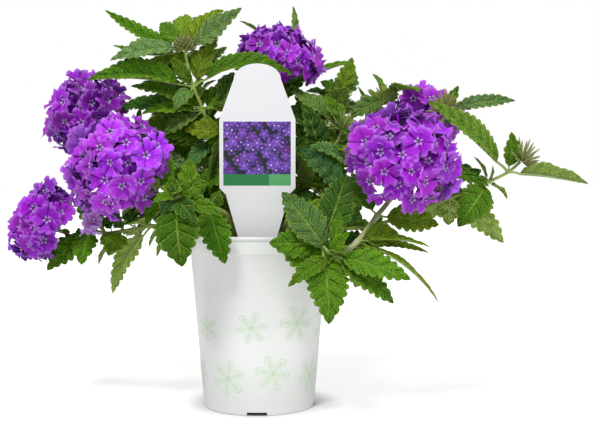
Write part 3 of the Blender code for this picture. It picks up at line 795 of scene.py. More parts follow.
def nudges():
    """Moves of a leaf's tip, smallest first, and those along the line of sight before the others."""
    yield Vector((0, 0, 0))
    for reach in NUDGE_REACHES:
        for across, up in ((0, 0), (0.5, 0), (-0.5, 0), (0, 0.6), (0, -0.6)):
            for depth in (-1, 1):
                yield Vector((across, depth, up)) * reach * MM


def packed_tip(name, leaf):
    """The tip of a leaf in the packed model."""
    tip = seen(*leaf.tip, leaf.depth)
    corners = [vertex.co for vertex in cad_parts[f"shoot_{name}"].data.vertices]
    for nudge in nudges():
        if any((corner - tip - nudge).length < TIP_TOLERANCE for corner in corners):
            return tip + nudge
    print("no packed tip for", name, leaf.tip)
    return tip


tips = {
    (name, i): packed_tip(name, leaf)
    for name, shoot in SHOOTS.items()
    for i, leaf in enumerate(shoot.leaves)
}
print("tips found:", len(tips))

# %% [markdown]
# Colours are kept on the mesh, so one material serves every leaf. Each leaf gets its own tint, varied a
# little round the tone that the table names, and each petal does too. The numbers are the colours that
# the screen should show.

# %% Tints
TONES = {
    "fresh": (104, 154, 14),
    "bright": (116, 170, 32),
    "deep": (84, 134, 8),
    "grey": (120, 158, 82),
    "silver": (130, 164, 102),
    "blue": (90, 142, 80),
    "dark": (68, 114, 34),
    "olive": (140, 168, 30),
    # pale is an underside's green, partly its own colour and partly painted light for the light that comes
    # through the leaf.
    "pale": (186, 208, 112),
    "young": (132, 170, 60),
    "stem": (156, 176, 90),
    "pale_stem": (196, 200, 150),
    "green_bud": (164, 180, 92),
    "brown_bud": (134, 138, 80),
    "purple_bud": (140, 142, 84),
    "calyx": (62, 84, 44),
    "violet": (176, 32, 222),
    "light_violet": (190, 60, 240),
    "magenta": (164, 10, 206),
    "lilac": (226, 196, 250),
}


def tinted(tone, spread=0.22, warmth=0.10):
    """The linear colour of a tone, a little lighter or darker and a little yellower or bluer at random."""
    red, green, blue, solid = display(*TONES[tone])
    light = 1 + dice.uniform(-spread, spread)
    warm = 1 + dice.uniform(-warmth, warmth)
    return (red * light * warm, green * light, blue * light / warm, solid)


def painted_shape(uv_name):
    """An empty bmesh that can hold tints and a UV map.

    The layers come first, because adding one later drops what points to a vertex.
    """
    shape = bmesh.new()
    shape.verts.layers.float_color.new("tint")
    shape.loops.layers.uv.new(uv_name)
    return shape


def paint(shape, vertices, tint):
    layer = shape.verts.layers.float_color["tint"]
    for vertex in vertices:
        vertex[layer] = tint


print("tones:", ", ".join(TONES))

# %% [markdown]
# A leaf starts as a flat grid, four rows of points to each tooth. Every point then moves to its place on
# the blade: the midrib arches, the halves fold up from it, the edge runs out to a rounded tooth and back
# to a sharp notch, and the blade swells between its side veins, which is what gives a verbena leaf its
# wrinkled look. The grid's UV map is rewritten so that its first number counts the side veins and its
# second runs from edge to edge, and the material paints the veins from it.

# %% Leaf blades
TOOTH_LENGTH = 5.0 * MM
TOOTH_ROWS = (0.0, 0.36, 0.66, 0.88)
TOOTH_REACHES = (-0.75, 0.25, 0.55, 0.15)
TOOTH_BITE = 1.9 * MM
ACROSS_CELLS = 8
SMALL_LEAF = 24 * MM
PUCKER = 0.1
RIPPLE = 0.06
RIPPLES = (1.2, 2.2)
VEINS_PER_TOOTH = 0.6
VEIN_SWEEP = 0.16
FIRST_VEIN = 0.66
LEAF_THICKNESS = 0.32 * MM


class Blade:
    """The form of one leaf, from the points and angles that the tables give."""

    def __init__(self, start, tip, width, facing, fold, arch):
        self.start = start
        self.length = (tip - start).length
        self.ahead = (tip - start) / self.length
        self.normal = upper_side((start + tip) / 2, self.ahead, facing)
        self.side = self.ahead.cross(self.normal)
        self.half = width * MM / 2
        self.rise = tan(radians(fold))
        self.arch = arch
        self.teeth = max(4, round(self.length * (1 - BLADE_START) / TOOTH_LENGTH))
        self.sweep = (FIRST_VEIN + max(1, round(self.teeth * VEIN_SWEEP))) / self.teeth
        self.waves = dice.uniform(*RIPPLES)
        self.phase = dice.uniform(0, 2 * pi)
        self.bite = min(TOOTH_BITE, 0.2 * self.half)

    def rib(self, share):
        lift = self.arch * self.length * 4 * share * (1 - share)
        return self.start + self.ahead * self.length * share + self.normal * lift

    def surface(self, row, across):
        """The point in this row of the grid, and what its UV map holds there."""
        tooth, step = divmod(row, len(TOOTH_ROWS))
        along = min(1.0, (tooth + TOOTH_ROWS[step]) / self.teeth)
        edge = abs(across)
        profile = half_profile(along)
        wide = self.half * profile
        bite = self.bite * min(1.0, wide / self.half * 1.6) * min(1.0, tooth / 1.5)
        reach = wide * edge + bite * TOOTH_REACHES[step] * edge**4
        vein = (along - self.sweep * edge**0.9) * self.teeth * VEINS_PER_TOOTH
        bulge = sin(pi * vein) ** 2 * min(1.0, 5 * edge) * (1 - edge**6) * min(1.0, 3 * profile)
        lift = wide * self.rise * edge * (1.35 - 0.35 * edge) + 2 * self.half * PUCKER * bulge
        swing = sin(self.phase + along * 2 * pi * self.waves + across)
        lift += 2 * self.half * RIPPLE * edge**2 * profile * swing
        share = BLADE_START + (1 - BLADE_START) * along
        place = self.rib(share) - self.side * (reach if across > 0 else -reach) + self.normal * lift
        return place, (vein, 0.5 + across / 2)


def add_blade(shape, blade, tint):
    """Grows one leaf in a bmesh, as a single sheet."""
    rows = len(TOOTH_ROWS) * blade.teeth
    cells = ACROSS_CELLS if blade.length > SMALL_LEAF else ACROSS_CELLS // 2
    veins = shape.loops.layers.uv["veins"]
    grid = bmesh.ops.create_grid(shape, x_segments=rows, y_segments=cells, size=1)
    held = {}
    for vertex in grid["verts"]:
        row = round((vertex.co.x + 1) / 2 * rows)
        across = round(vertex.co.y * cells / 2) / (cells / 2)
        vertex.co, held[vertex] = blade.surface(row, across)
    for face in {face for vertex in grid["verts"] for face in vertex.link_faces}:
        face.smooth = True
        for loop in face.loops:
            loop[veins].uv = held[loop.vert]
    paint(shape, grid["verts"], tint)


def solid_sheet(shape, thickness, weld=0.02 * MM):
    """A mesh from a bmesh of single sheets, each given its thickness, with the second material below."""
    bmesh.ops.remove_doubles(shape, verts=shape.verts, dist=weld)
    holder = bpy.data.objects.new("sheets", bpy.data.meshes.new("sheets"))
    shape.to_mesh(holder.data)
    shape.free()
    scene.collection.objects.link(holder)
    solid = holder.modifiers.new("thick", "SOLIDIFY")
    solid.thickness = thickness
    solid.offset = -1
    solid.material_offset = 1
    solid.material_offset_rim = 0
    for slot in range(3):
        holder.data.materials.append(None)
    bpy.context.view_layer.update()
    made = bpy.data.meshes.new_from_object(holder.evaluated_get(bpy.context.evaluated_depsgraph_get()))
    bpy.data.objects.remove(holder, do_unlink=True)
    return made


sample = Blade(Vector((0, 0, 0)), Vector((0.06, 0, 0)), 25, 0, 18, 0.08)
print("teeth on each side of a 60 mm leaf:", sample.teeth)

# %% [markdown]
# Stems, leaf stalks, midribs, buds and the green tubes behind the florets are all long round things that
# taper. Each is a line of points with a radius at every point, and Blender's curve bevel turns all the
# lines of one piece into tubes at once.

# %% Tubes


def smooth_path(places, steps):
    """Points on a smooth curve through these places."""
    path = [places[0]]
    for i in range(len(places) - 1):
        before, here, there, after = (places[min(max(j, 0), len(places) - 1)] for j in range(i - 1, i + 3))
        out, into = here + (there - before) / 6, there - (after - here) / 6
        path += interpolate_bezier(here, out, into, there, steps + 1)[1:]
    return path


def tubes(lines, sides=8):
    """One mesh of round tubes, from lines of (places, radii)."""
    line = bpy.data.curves.new("tubes", "CURVE")
    line.dimensions = "3D"
    line.bevel_depth = 1.0
    line.bevel_resolution = (sides - 4) // 2
    line.use_fill_caps = True
    for places, radii in lines:
        spline = line.splines.new("POLY")
        spline.points.add(len(places) - 1)
        for point, place, radius in zip(spline.points, places, radii):
            point.co = (*place, 1)
            point.radius = radius
    holder = bpy.data.objects.new("tubes", line)
    scene.collection.objects.link(holder)
    bpy.context.view_layer.update()
    made = bpy.data.meshes.new_from_object(holder.evaluated_get(bpy.context.evaluated_depsgraph_get()))
    bpy.data.objects.remove(holder, do_unlink=True)
    bpy.data.curves.remove(line)
    return made


def add_mesh(shape, mesh, tint=None, material=None):
    """Adds a mesh to a bmesh, painted with one tint or left as it is, and drops the mesh."""
    before = len(shape.verts), len(shape.faces)
    shape.from_mesh(mesh)
    shape.verts.ensure_lookup_table()
    shape.faces.ensure_lookup_table()
    if tint:
        paint(shape, shape.verts[before[0]:], tint)
    for face in shape.faces[before[1]:]:
        face.smooth = True
        if material is not None:
            face.material_index = material
    bpy.data.meshes.remove(mesh)


trial = tubes([([Vector((0, 0, 0)), Vector((0, 0, MM))], [MM, MM])])
print("faces in a short tube:", len(trial.polygons))
bpy.data.meshes.remove(trial)

# %% [markdown]
# The finishes of the plant. The upper side of a leaf is the leaf's own tint, with painted shade in the
# valley on both sides of each vein and in a fine net between the veins, with paler veins and a yellower
# margin, and its bump sinks the veins. The underside is paler and yellower, partly its own colour and
# partly painted light for the light that comes through the leaf, and its veins stand out. Roughness stays
# high, because the leaves are finely hairy.

# %% Leaf and stem finishes
NET_SCALE = 440.0
MOTTLE_SHADE = (0.60, 0.66, 0.5, 1)
VALLEY_PAINTED_SHADE = (0.36, 0.46, 0.28, 1)
STREAK_SHADE = (0.7, 0.72, 0.5, 1)
LIGHT_THROUGH = (0.7, 1.0, 0.15)


def leaf_finish(name, pale_share, painted_shade_share, vein_colour, vein_height):
    finish = Finish(name, 0.5, Specular_IOR_Level=0.2, Subsurface_Weight=0.6, Subsurface_Scale=MM)
    finish.surface.inputs["Subsurface Radius"].default_value = LIGHT_THROUGH
    tint = finish.node("ShaderNodeAttribute", {"attribute_name": "tint"})
    count, across, _ = finish.apart(finish.node("ShaderNodeUVMap", {"uv_map": "veins"}))
    from_rib = abs(across - 0.5)
    bent = count + finish.noise(130.0, 2.0) * 0.5 + 0.25
    from_vein = abs(bent.maths("FRACT", bent) - 0.5)
    side_vein = 1 - from_vein.step(0.02, 0.08)
    valley = (1 - from_vein.step(0.05, 0.24)) * from_rib.step(0.02, 0.10)
    rib = 1 - from_rib.step(0.012, 0.045)
    vein = side_vein.maths("MAXIMUM", side_vein * 0.8, rib)
    cell_inputs = {"Vector": finish.place(), "Scale": NET_SCALE}
    cells = finish.node("ShaderNodeTexVoronoi", {"feature": "DISTANCE_TO_EDGE"}, cell_inputs)
    net = 1 - cells.step(0.02, 0.30)
    mottle = finish.noise(90.0, 4.0)
    body = finish.mix(pale_share, tint, display(*TONES["pale"]))
    shaded = finish.mix(mottle.step(0.3, 0.7) * 0.5, body, finish.times(body, MOTTLE_SHADE))
    # Painted shade: the tint is darkened in the valley beside each vein and in the fine net between the
    # veins.
    low = finish.times(shaded, VALLEY_PAINTED_SHADE)
    vein_valley_shaded = finish.mix(valley * painted_shade_share * 0.8, finish.mix(net * painted_shade_share, shaded, low), low)
    margin = from_rib.step(0.40, 0.50)
    edged = finish.mix(margin * 0.35, vein_valley_shaded, vein_colour)
    finish.feed("Base Color", finish.mix(vein * 0.55, edged, vein_colour))
    finish.feed("Roughness", mottle * 0.16 + 0.44)
    finish.relief(vein * vein_height + (valley + net) * (vein_height * 0.6) + mottle * 0.3, 1.5 * MM)
    return finish


upper_finish = leaf_finish("leaf_upper", 0.0, 0.50, display(170, 200, 84), -1.0)
# The underside is mixed far towards pale, partly its own colour and partly painted light for the light
# through the leaf.
under_finish = leaf_finish("leaf_under", 0.75, 0.3, display(206, 220, 150), 1.0)

stem_finish = Finish("stem_skin", 0.5, Specular_IOR_Level=0.35)
stem_tint = stem_finish.node("ShaderNodeAttribute", {"attribute_name": "tint"})
streak_share = stem_finish.noise(160.0, 5.0).step(0.35, 0.7) * 0.4
streaked = stem_finish.mix(streak_share, stem_tint, stem_finish.times(stem_tint, STREAK_SHADE))
stem_finish.feed("Base Color", streaked)
stem_finish.relief(stem_finish.noise(1500.0, 2.0), 0.25 * MM)
SHOOT_MATERIALS = (upper_finish.material, under_finish.material, stem_finish.material)
STEM_SLOT = SHOOT_MATERIALS.index(stem_finish.material)
print("shoot materials:", [item.name for item in SHOOT_MATERIALS])

# %% [markdown]
# The leaves that fill gaps must keep clear of the packed nodes and of each other, so a search tree is
# held for each of them. A leaf that would cross one is tried again a little differently, and left out
# where no try finds room.

# %% What is in the way
OUTLINE_STEPS = 5
ROOT_SHARE = 0.12


def tree_of(mesh):
    return BVHTree.FromPolygons([v.co for v in mesh.vertices], [tuple(p.vertices) for p in mesh.polygons])


packed_trees = {name: tree_of(item.data) for name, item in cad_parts.items()}
added_trees = []


def outline_tree(blade, first_share):
    """A coarse sheet over the outer part of a leaf."""
    points, faces = [], []
    for i in range(OUTLINE_STEPS + 1):
        along = first_share + (1 - first_share) * i / OUTLINE_STEPS
        row_place = blade.rib(BLADE_START + (1 - BLADE_START) * along)
        wide = blade.half * half_profile(along)
        lift = blade.normal * wide * blade.rise
        points += [row_place + blade.side * wide + lift, row_place, row_place - blade.side * wide + lift]
    for i in range(OUTLINE_STEPS):
        faces += [(3 * i, 3 * i + 3, 3 * i + 4, 3 * i + 1), (3 * i + 1, 3 * i + 4, 3 * i + 5, 3 * i + 2)]
    return BVHTree.FromPolygons(points, faces)


def clear(blade):
    """Whether a new leaf, apart from its root, crosses nothing."""
    outer = outline_tree(blade, ROOT_SHARE)
    return not any(outer.overlap(tree) for tree in [*packed_trees.values(), *added_trees])


print("trees:", len(packed_trees))

# %% [markdown]
# A stem runs smoothly through the table's nodes, a little thicker at each node, and a stem with a head
# comes up behind it. A leaf's round stalk leaves the stem at a node and goes on below the blade as its
# midrib. Both are lines for the tubes helper.

# %% Stems and stalks
STEM_RADIUS = 1.6 * MM
STEM_TIP_RADIUS = 1.0 * MM
STEM_ROOT = 90 * MM
SOIL_TOP = 112 * MM
NODE_SWELLING = 1.25
STEM_STEPS = 6
CORE_SHARE = 0.62
STALK_RADIUS = 0.95 * MM
STALK_TAPER = 0.82
STALK_SHARES = (0.0, 0.08, 0.16, 0.3, 0.45, 0.6, 0.75, 0.9)
FULL_STALK_HALF = 9 * MM


def neck(name):
    """The last points of a stem, which comes up behind its flower head."""
    bloom = BLOOMS[name]
    middle, looks = seen(*bloom.middle), Vector(bloom.looks).normalized()
    radius = bloom.radius * MM
    return [middle - looks * radius, middle - looks * radius * CORE_SHARE * bloom.squash]


def stem_routes(shoot):
    x, y = shoot.root[0] * MM, shoot.root[1] * MM
    main = [Vector((x, y, STEM_ROOT)), Vector((x, y, SOIL_TOP + 4 * MM))]
    main += [seen(*node) for node in shoot.nodes]
    if shoot.bloom:
        main += neck(shoot.bloom)
    routes = [main]
    if shoot.side_bloom:
        node, name = shoot.side_bloom
        routes.append([seen(*shoot.nodes[node])] + neck(name))
    return routes


def stem_line(route, stout):
    """A stem's smooth line, with a swelling at each of its nodes."""
    places = smooth_path(route, STEM_STEPS)
    last = len(places) - 1
    radii = []
    for i in range(len(places)):
        swelling = NODE_SWELLING if i % STEM_STEPS == 0 and 0 < i < last else 1.0
        radii.append((STEM_RADIUS + (STEM_TIP_RADIUS - STEM_RADIUS) * i / last) * swelling * stout)
    return places, radii


def stalk_line(blade):
    """A leaf's stalk, which goes on under the blade as its midrib."""
    thin = min(1.0, blade.half / FULL_STALK_HALF)
    places, radii = [], []
    for share in STALK_SHARES:
        radius = STALK_RADIUS * thin * (1 - STALK_TAPER * share)
        below = radius + LEAF_THICKNESS if share > 0.1 else 0.0
        places.append(blade.rib(share) - blade.normal * below)
        radii.append(radius)
    return places, radii


print("stem radius in mm:", STEM_RADIUS / MM, "falling to", STEM_TIP_RADIUS / MM)

# %% [markdown]
# Some shoots end in unopened buds. They are lines that swell and then come to a point, spread over a dome
# by the golden angle. The bud cluster at the upper left is young and tight, and the others are already
# opening into loose spikes, so there are two styles.

# %% Buds
GOLDEN_ANGLE = pi * (3 - sqrt(5))
BUD_SHARES = (0, 0.35, 0.6, 0.8, 0.92)
BUD_ROOT = 0.12
TIGHT_BUDS = {"count": 70, "reach": 0.95, "ragged": 0.08, "radii": (0.5, 0.8, 1.05, 0.85, 0.25)}
LOOSE_BUDS = {"count": 46, "reach": 1.1, "ragged": 0.2, "radii": (0.5, 0.6, 0.75, 0.5, 0.1)}


def buds(tip, looks, radius, style):
    """The lines of a cluster of buds on the tip of a stem."""
    turn = (looks + Vector((0, 0, 1))).to_track_quat("Z", "Y")
    count, ragged = style["count"], style["ragged"]
    lines = []
    for i in range(count):
        height = 1 - (i + 0.5) / count * 1.25
        flat = sqrt(max(0.0, 1 - height * height))
        around = i * GOLDEN_ANGLE
        outward = turn @ Vector((flat * cos(around), flat * sin(around), height))
        reach = radius * (style["reach"] + dice.uniform(-ragged, ragged))
        droop = Vector((0, 0, 1)) * reach * BUD_ROOT
        start = tip + outward * reach * BUD_ROOT
        places = [start + outward * reach * share + droop * share**2 for share in BUD_SHARES]
        lines.append((places, [bud_radius * MM for bud_radius in style["radii"]]))
    return lines


print("buds in a cluster:", TIGHT_BUDS["count"], "or", LOOSE_BUDS["count"])

# %% [markdown]
# Between the packed leaves the real plant is filled with smaller ones. They grow in pairs at each node and
# half-way between nodes, pointing every way. One is kept only where it ends within the packed model's
# box, crosses nothing, and doesn't cover what the photograph shows free. At the ends of the long shoots
# there are few, as on the plant.

# %% Small leaves
PAIR_LENGTHS = ((30, 46), (20, 34), (10, 20))
ATTEMPTS = 4
DENSE_LEFT, DENSE_RIGHT = -105 * MM, 62 * MM
DENSE_TOP = 234 * MM
BACK_DEPTH = 36 * MM
BACK_SHOOTS = (
    "left_high",
    "middle_high",
    "top",
    "right_back",
    "top_back",
    "right_top",
    "back_left",
    "back_right",
    "back_middle",
)
FRONT_PIECES = [
    name for name in packed_trees if name != "soil" and name.removeprefix("shoot_") not in BACK_SHOOTS
]
LOWEST, HIGHEST = (Vector(corner) for corner in packed_box)


def inside(blade):
    """Whether a new leaf ends within the packed model's box."""
    tip = blade.rib(1.0)
    return all(LOWEST[i] <= tip[i] <= HIGHEST[i] for i in range(3))


def hides(blade):
    """Whether the camera would see a leaf in front of a piece that the photograph shows free."""
    for share in (0.3, 0.5, 0.75, 1.0):
        for across in (-0.8, 0, 0.8):
            place = blade.rib(share) + blade.side * blade.half * across * half_profile(share)
            sight = (place - camera.location).normalized()
            if any(packed_trees[name].ray_cast(place, sight)[0] for name in FRONT_PIECES):
                return True
    return False


def dense(place):
    """Whether a place lies in the middle of the plant or at its back, where leaves fill every gap."""
    return place.y > BACK_DEPTH or (DENSE_LEFT < place.x < DENSE_RIGHT and place.z < DENSE_TOP)


def small_leaf(start, ahead, outward, shortest, longest):
    """A small leaf from a place on a stem, or None where no attempt finds room."""
    for attempt in range(ATTEMPTS):
        lean = dice.uniform(0.2, 0.9)
        length = dice.uniform(shortest, longest)
        heading = (outward + ahead * lean + Vector((0, 0, 0.25))).normalized()
        tip = start + heading * length * MM
        width = length * dice.uniform(0.42, 0.55)
        bend = dice.uniform(0.04, 0.14)
        facing, fold = dice.uniform(-0.1, 0.5), dice.uniform(12, 24)
        blade = Blade(start, tip, width, facing, fold, bend)
        if inside(blade) and clear(blade) and not hides(blade):
            added_trees.append(outline_tree(blade, 0.0))
            return blade
    return None


def small_leaves(shoot, route):
    """Pairs of smaller leaves along a stem, wherever they have room."""
    places = smooth_path(route, 2)
    made = []
    for i in range(2, len(places) - 1):
        if places[i].z < SOIL_TOP + 6 * MM:
            continue
        ahead = (places[i + 1] - places[i - 1]).normalized()
        first = dice.uniform(0, pi)
        for pair, (shortest, longest) in enumerate(PAIR_LENGTHS):
            for hand in (0, 1):
                tuft = pair == len(PAIR_LENGTHS) - 1 and dice.random() < shoot.fill
                if tuft or dense(places[i]):
                    turn = Matrix.Rotation(first + pair * pi / 2 + hand * pi, 3, ahead)
                    outward = turn @ ahead.orthogonal().normalized()
                    made.append(small_leaf(places[i], ahead, outward, shortest, longest))
    return [blade for blade in made if blade]


print("front pieces that stay free:", len(FRONT_PIECES))

# %% [markdown]
# A shoot without flowers or buds ends in its youngest leaves, packed closely round the growing tip. And a
# few leaves are given in the scene alone, where the photograph shows one behind the packed leaves. They are
# moved by the same small steps until they are clear.

# %% Young leaves and extra leaves
TUFT_LEAVES = 12
TUFT_LENGTHS = (10, 17)
TUFT_WIDTH = 0.45


def end_tuft(shoot):
    """The youngest leaves, packed round the growing end of a shoot that has no flowers or buds."""
    end = seen(*shoot.nodes[-1])
    ahead = (end - seen(*shoot.nodes[-2])).normalized()
    made = []
    for i in range(TUFT_LEAVES):
        turn = Matrix.Rotation(i * GOLDEN_ANGLE, 3, ahead)
        lean = 0.15 + 1.1 * (i / TUFT_LEAVES)
        heading = (turn @ ahead.orthogonal().normalized() + ahead * lean).normalized()
        length = dice.uniform(*TUFT_LENGTHS) * (1.15 - 0.6 * i / TUFT_LEAVES)
        tip = end + heading * length * MM
        facing, fold, bend = dice.uniform(0.0, 0.6), dice.uniform(16, 30), dice.uniform(0.0, 0.1)
        made.append(Blade(end, tip, length * TUFT_WIDTH, facing, fold, bend))
    return made


def blade_of(leaf, start, tip):
    return Blade(start, tip, leaf.width, leaf.facing, leaf.fold, leaf.arch)


def placed(start, leaf):
    """A leaf that only the scene has, moved a little to keep clear of the others, or None without room."""
    for nudge in nudges():
        blade = blade_of(leaf, start, seen(*leaf.tip, leaf.depth) + nudge)
        if clear(blade):
            added_trees.append(outline_tree(blade, 0.0))
            return blade
    print("no room for the leaf to", leaf.tip)
    return None


print("extra leaves:", sum(len(shoot.more) for shoot in SHOOTS.values()))

# %% [markdown]
# A shoot is one piece, which stands for its packed node. All its leaves are grown as flat sheets in one
# bmesh and given their thickness together. Then the stem, the stalks and the buds are added as tubes.

# %% Grow the shoots
FILL_TONES = ("fresh", "fresh", "olive", "dark")


def finished(name, shape, materials, replaced):
    """Turns a bmesh into a piece that stands for a packed node."""
    made = bpy.data.objects.new(name, bpy.data.meshes.new(name))
    shape.to_mesh(made.data)
    shape.free()
    for material in materials:
        made.data.materials.append(material)
    scene.collection.objects.link(made)
    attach(made, "root")
    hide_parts(replaced)
    return made


def bud_lines(shoot, route):
    looks = (route[-1] - route[-2]).normalized()
    tip = route[-1] + looks * 0.1 * shoot.bud_radius * MM
    style = TIGHT_BUDS if shoot.buds == "brown_bud" else LOOSE_BUDS
    return buds(tip, looks, shoot.bud_radius * MM, style)


def grow(name, shoot):
    sheets = painted_shape("veins")
    stalks = []

    def add_leaf(blade, tone):
        add_blade(sheets, blade, tinted(tone))
        stalks.append(stalk_line(blade))

    for i, leaf in enumerate(shoot.leaves):
        add_leaf(blade_of(leaf, seen(*shoot.nodes[leaf.node]), tips[name, i]), leaf.tone)
    for leaf in shoot.more:
        blade = placed(seen(*shoot.nodes[leaf.node]), leaf)
        if blade:
            add_leaf(blade, leaf.tone)
    if not (shoot.bloom or shoot.bud_radius):
        for blade in end_tuft(shoot):
            add_leaf(blade, "young")
    routes = stem_routes(shoot)
    for route in routes:
        for blade in small_leaves(shoot, route):
            add_leaf(blade, dice.choice(FILL_TONES))
    piece = painted_shape("veins")
    add_mesh(piece, solid_sheet(sheets, LEAF_THICKNESS))
    stems = [stem_line(route, shoot.stout) for route in routes]
    add_mesh(piece, tubes(stems), tinted(shoot.skin), STEM_SLOT)
    add_mesh(piece, tubes(stalks, 6), tinted("stem"), STEM_SLOT)
    if shoot.bud_radius:
        add_mesh(piece, tubes(bud_lines(shoot, routes[0]), 6), tinted(shoot.buds), STEM_SLOT)
    return finished(f"leafy_{name}", piece, SHOOT_MATERIALS, f"shoot_{name}"), len(stalks)


for name, shoot in SHOOTS.items():
    made, leaves = grow(name, shoot)
    print(made.name, "leaves:", leaves, "faces:", len(made.data.polygons))

# %% [markdown]
# A verbena floret has five broad petals with a notch in each, joined at a narrow tube. One petal is a
# small grid drawn out to that outline, and five are turned round the middle, each with its own wave, cup
# and twist, before the sheet gets its thickness. Six florets are made, and each head picks from them.

# %% Florets
FLORETS_MADE = 6
FLORET_RADIUS = 11.2 * MM
THROAT_RADIUS = 0.7 * MM
THROAT_DEPTH = 0.9 * MM
PETAL_THICKNESS = 0.24 * MM
PETALS = 5
PETAL_ROWS = 4
PETAL_CELLS = 6
PETAL_ROOT, PETAL_SPREAD = 1.0, 5.3
NOTCH_DEPTH = 0.24
NOTCH_WIDTH = 0.24
CORNER_CUT = 0.30
RUFFLE = 1.1
CUP = 4.0
DROOP = 5


def petal_point(along, across, wave, cup, twist):
    """The place of a petal's point: outward along +X, across along Y and up along Z."""
    edge = abs(across)
    notch = NOTCH_DEPTH * exp(-((across / NOTCH_WIDTH) ** 2)) + CORNER_CUT * edge**2.8
    reach = THROAT_RADIUS + (FLORET_RADIUS - THROAT_RADIUS) * along * (1 - notch * along**2)
    width = (PETAL_ROOT + PETAL_SPREAD * along**0.85 * (1 - 0.06 * along**4)) * MM
    ruffle = sin(across * 1.9 * pi + wave * 3) * along**1.6 * (0.5 + edge) * RUFFLE * MM
    droop = max(0.0, along - 0.6) ** 2 * (1 + wave) * DROOP * MM
    up = cup * along**1.8 * CUP * MM + ruffle - droop
    up += twist * across * width * 0.30 - THROAT_DEPTH * (1 - along) ** 3
    return Vector((reach, across * width, up))


def floret_mesh():
    shape = painted_shape("fan")
    fans = shape.loops.layers.uv["fan"]
    for i in range(PETALS):
        wave, cup, twist = dice.uniform(-1, 1), dice.uniform(-0.5, 1.2), 0.8 + dice.uniform(-0.6, 0.6)
        grid = bmesh.ops.create_grid(shape, x_segments=PETAL_ROWS, y_segments=PETAL_CELLS, size=1)
        held = {}
        for vertex in grid["verts"]:
            along, across = (vertex.co.x + 1) / 2, vertex.co.y
            held[vertex] = (along, 0.5 + across / 2)
            vertex.co = petal_point(along, across, wave, cup, twist)
        for face in {face for vertex in grid["verts"] for face in vertex.link_faces}:
            for loop in face.loops:
                loop[fans].uv = held[loop.vert]
        turn = Matrix.Rotation(i * 2 * pi / PETALS + dice.uniform(-0.06, 0.06), 3, "Z")
        bmesh.ops.rotate(shape, verts=grid["verts"], cent=(0, 0, 0), matrix=turn)
    return solid_sheet(shape, PETAL_THICKNESS, 0.0)


FLORETS = [floret_mesh() for i in range(FLORETS_MADE)]
print("faces in a floret:", len(FLORETS[0].polygons))

# %% [markdown]
# Petals are soft and almost matt. The colour runs from a dark throat, which is painted shade in the mouth
# of the tube, over a small pale star and a deep violet to a lilac edge, with fine darker lines along the
# petal. The violet is deepest towards the middle, partly its own colour and partly painted shade of the
# cupped petal, and it is darker along each petal's crease as painted shade. The back is a duller lilac.

# %% Petal finishes
# The deep colour serves both the fine lines along the petal and the painted shade.
DEEP_SHADE = (0.6, 0.05, 0.62, 1)


def petal_finish(name, pale_share, star):
    finish = Finish(name, 0.5, Specular_IOR_Level=0.25, Sheen_Weight=0.1)
    tint = finish.node("ShaderNodeAttribute", {"attribute_name": "tint"})
    along, across, _ = finish.apart(finish.node("ShaderNodeUVMap", {"uv_map": "fan"}))
    from_middle = abs(across - 0.5) * 2
    edge = (along + from_middle * from_middle * 0.2).step(0.66, 1.1)
    deep = finish.times(tint, DEEP_SHADE)
    light = finish.mix(0.5, tint, display(214, 166, 250))
    drawn_out = finish.node("ShaderNodeCombineXYZ", {}, {0: along * 2.0, 1: across * 16.0})
    streaks = finish.noise(1.4, 2.0, drawn_out)
    mid = finish.mix(streaks.step(0.3, 0.65) * 0.75, tint, deep)
    # Painted shade: deeper violet towards the middle, partly its own colour and partly the shade of the
    # cup, and along each petal's crease.
    crease_shade_mask = 1 - from_middle.step(0.0, 0.14)
    shaded = finish.mix((1 - along.step(0.2, 0.7)) * 0.75, mid, deep)
    crease_shaded_petal = finish.mix(crease_shade_mask * 0.5, shaded, deep)
    edged = finish.mix(edge * 0.66, crease_shaded_petal, light)
    paled = finish.mix(pale_share, edged, display(170, 112, 214))
    eye = 1 - (along + from_middle * 0.26).step(0.10, 0.30)
    starred = finish.mix(eye * star, paled, display(226, 216, 246))
    # The dark throat is painted shade where the tube goes in.
    throat = 1 - along.step(0.02, 0.08)
    finish.feed("Base Color", finish.mix(throat, starred, display(84, 52, 104)))
    finish.relief(streaks, 0.2 * MM)
    return finish


petal_front = petal_finish("petal_front", 0.0, 0.9)
petal_back = petal_finish("petal_back", 0.5, 0.0)
HEAD_MATERIALS = (petal_front.material, petal_back.material, stem_finish.material)
print("petal materials:", petal_front.material.name, petal_back.material.name)

# %% [markdown]
# In a head the florets sit on slim green calyces that all spring from the end of the stem. The golden
# angle spreads them evenly, each one a step round and a little lower than the last. The packed head has
# fewer and larger florets on a smaller core. The fine head fills the same round form with far more of
# them, some deeper than others, and the gaps between them show the calyces, as on the plant.

# %% Places in a head
FINE_PER_PACKED = 2.6
FEWEST_PACKED = 3
OUTER_STEP, INNER_STEP = 0.92, 0.80
TILT = 0.5
OPEN_CALYX = ((0.0, 0.6), (0.5, 1.1), (0.85, 1.25), (1.0, 0.8))
SHUT_CALYX = ((0.0, 0.6), (0.5, 1.1), (0.85, 1.2), (1.0, 0.2))
FLORET_TUBE = ((0.0, 0.6), (0.6, 0.7), (1.0, 1.15))
STUB_RADII = (1.2, 2.4, 2.0)


def spread(bloom, count, offset=0.0):
    """Directions over a head, each with its place on the head's squashed round form."""
    middle, looks = seen(*bloom.middle), Vector(bloom.looks).normalized()
    turn = looks.to_track_quat("Z", "Y")
    for i in range(count):
        height = 1 - (i + 0.5) / count * (1 - bloom.lowest)
        around = (i + offset) * GOLDEN_ANGLE
        flat = sqrt(1 - height * height)
        outward = turn @ Vector((flat * cos(around), flat * sin(around), height))
        squashed = turn @ Vector((flat * cos(around), flat * sin(around), height * bloom.squash))
        yield outward, middle + squashed * bloom.radius * MM, middle


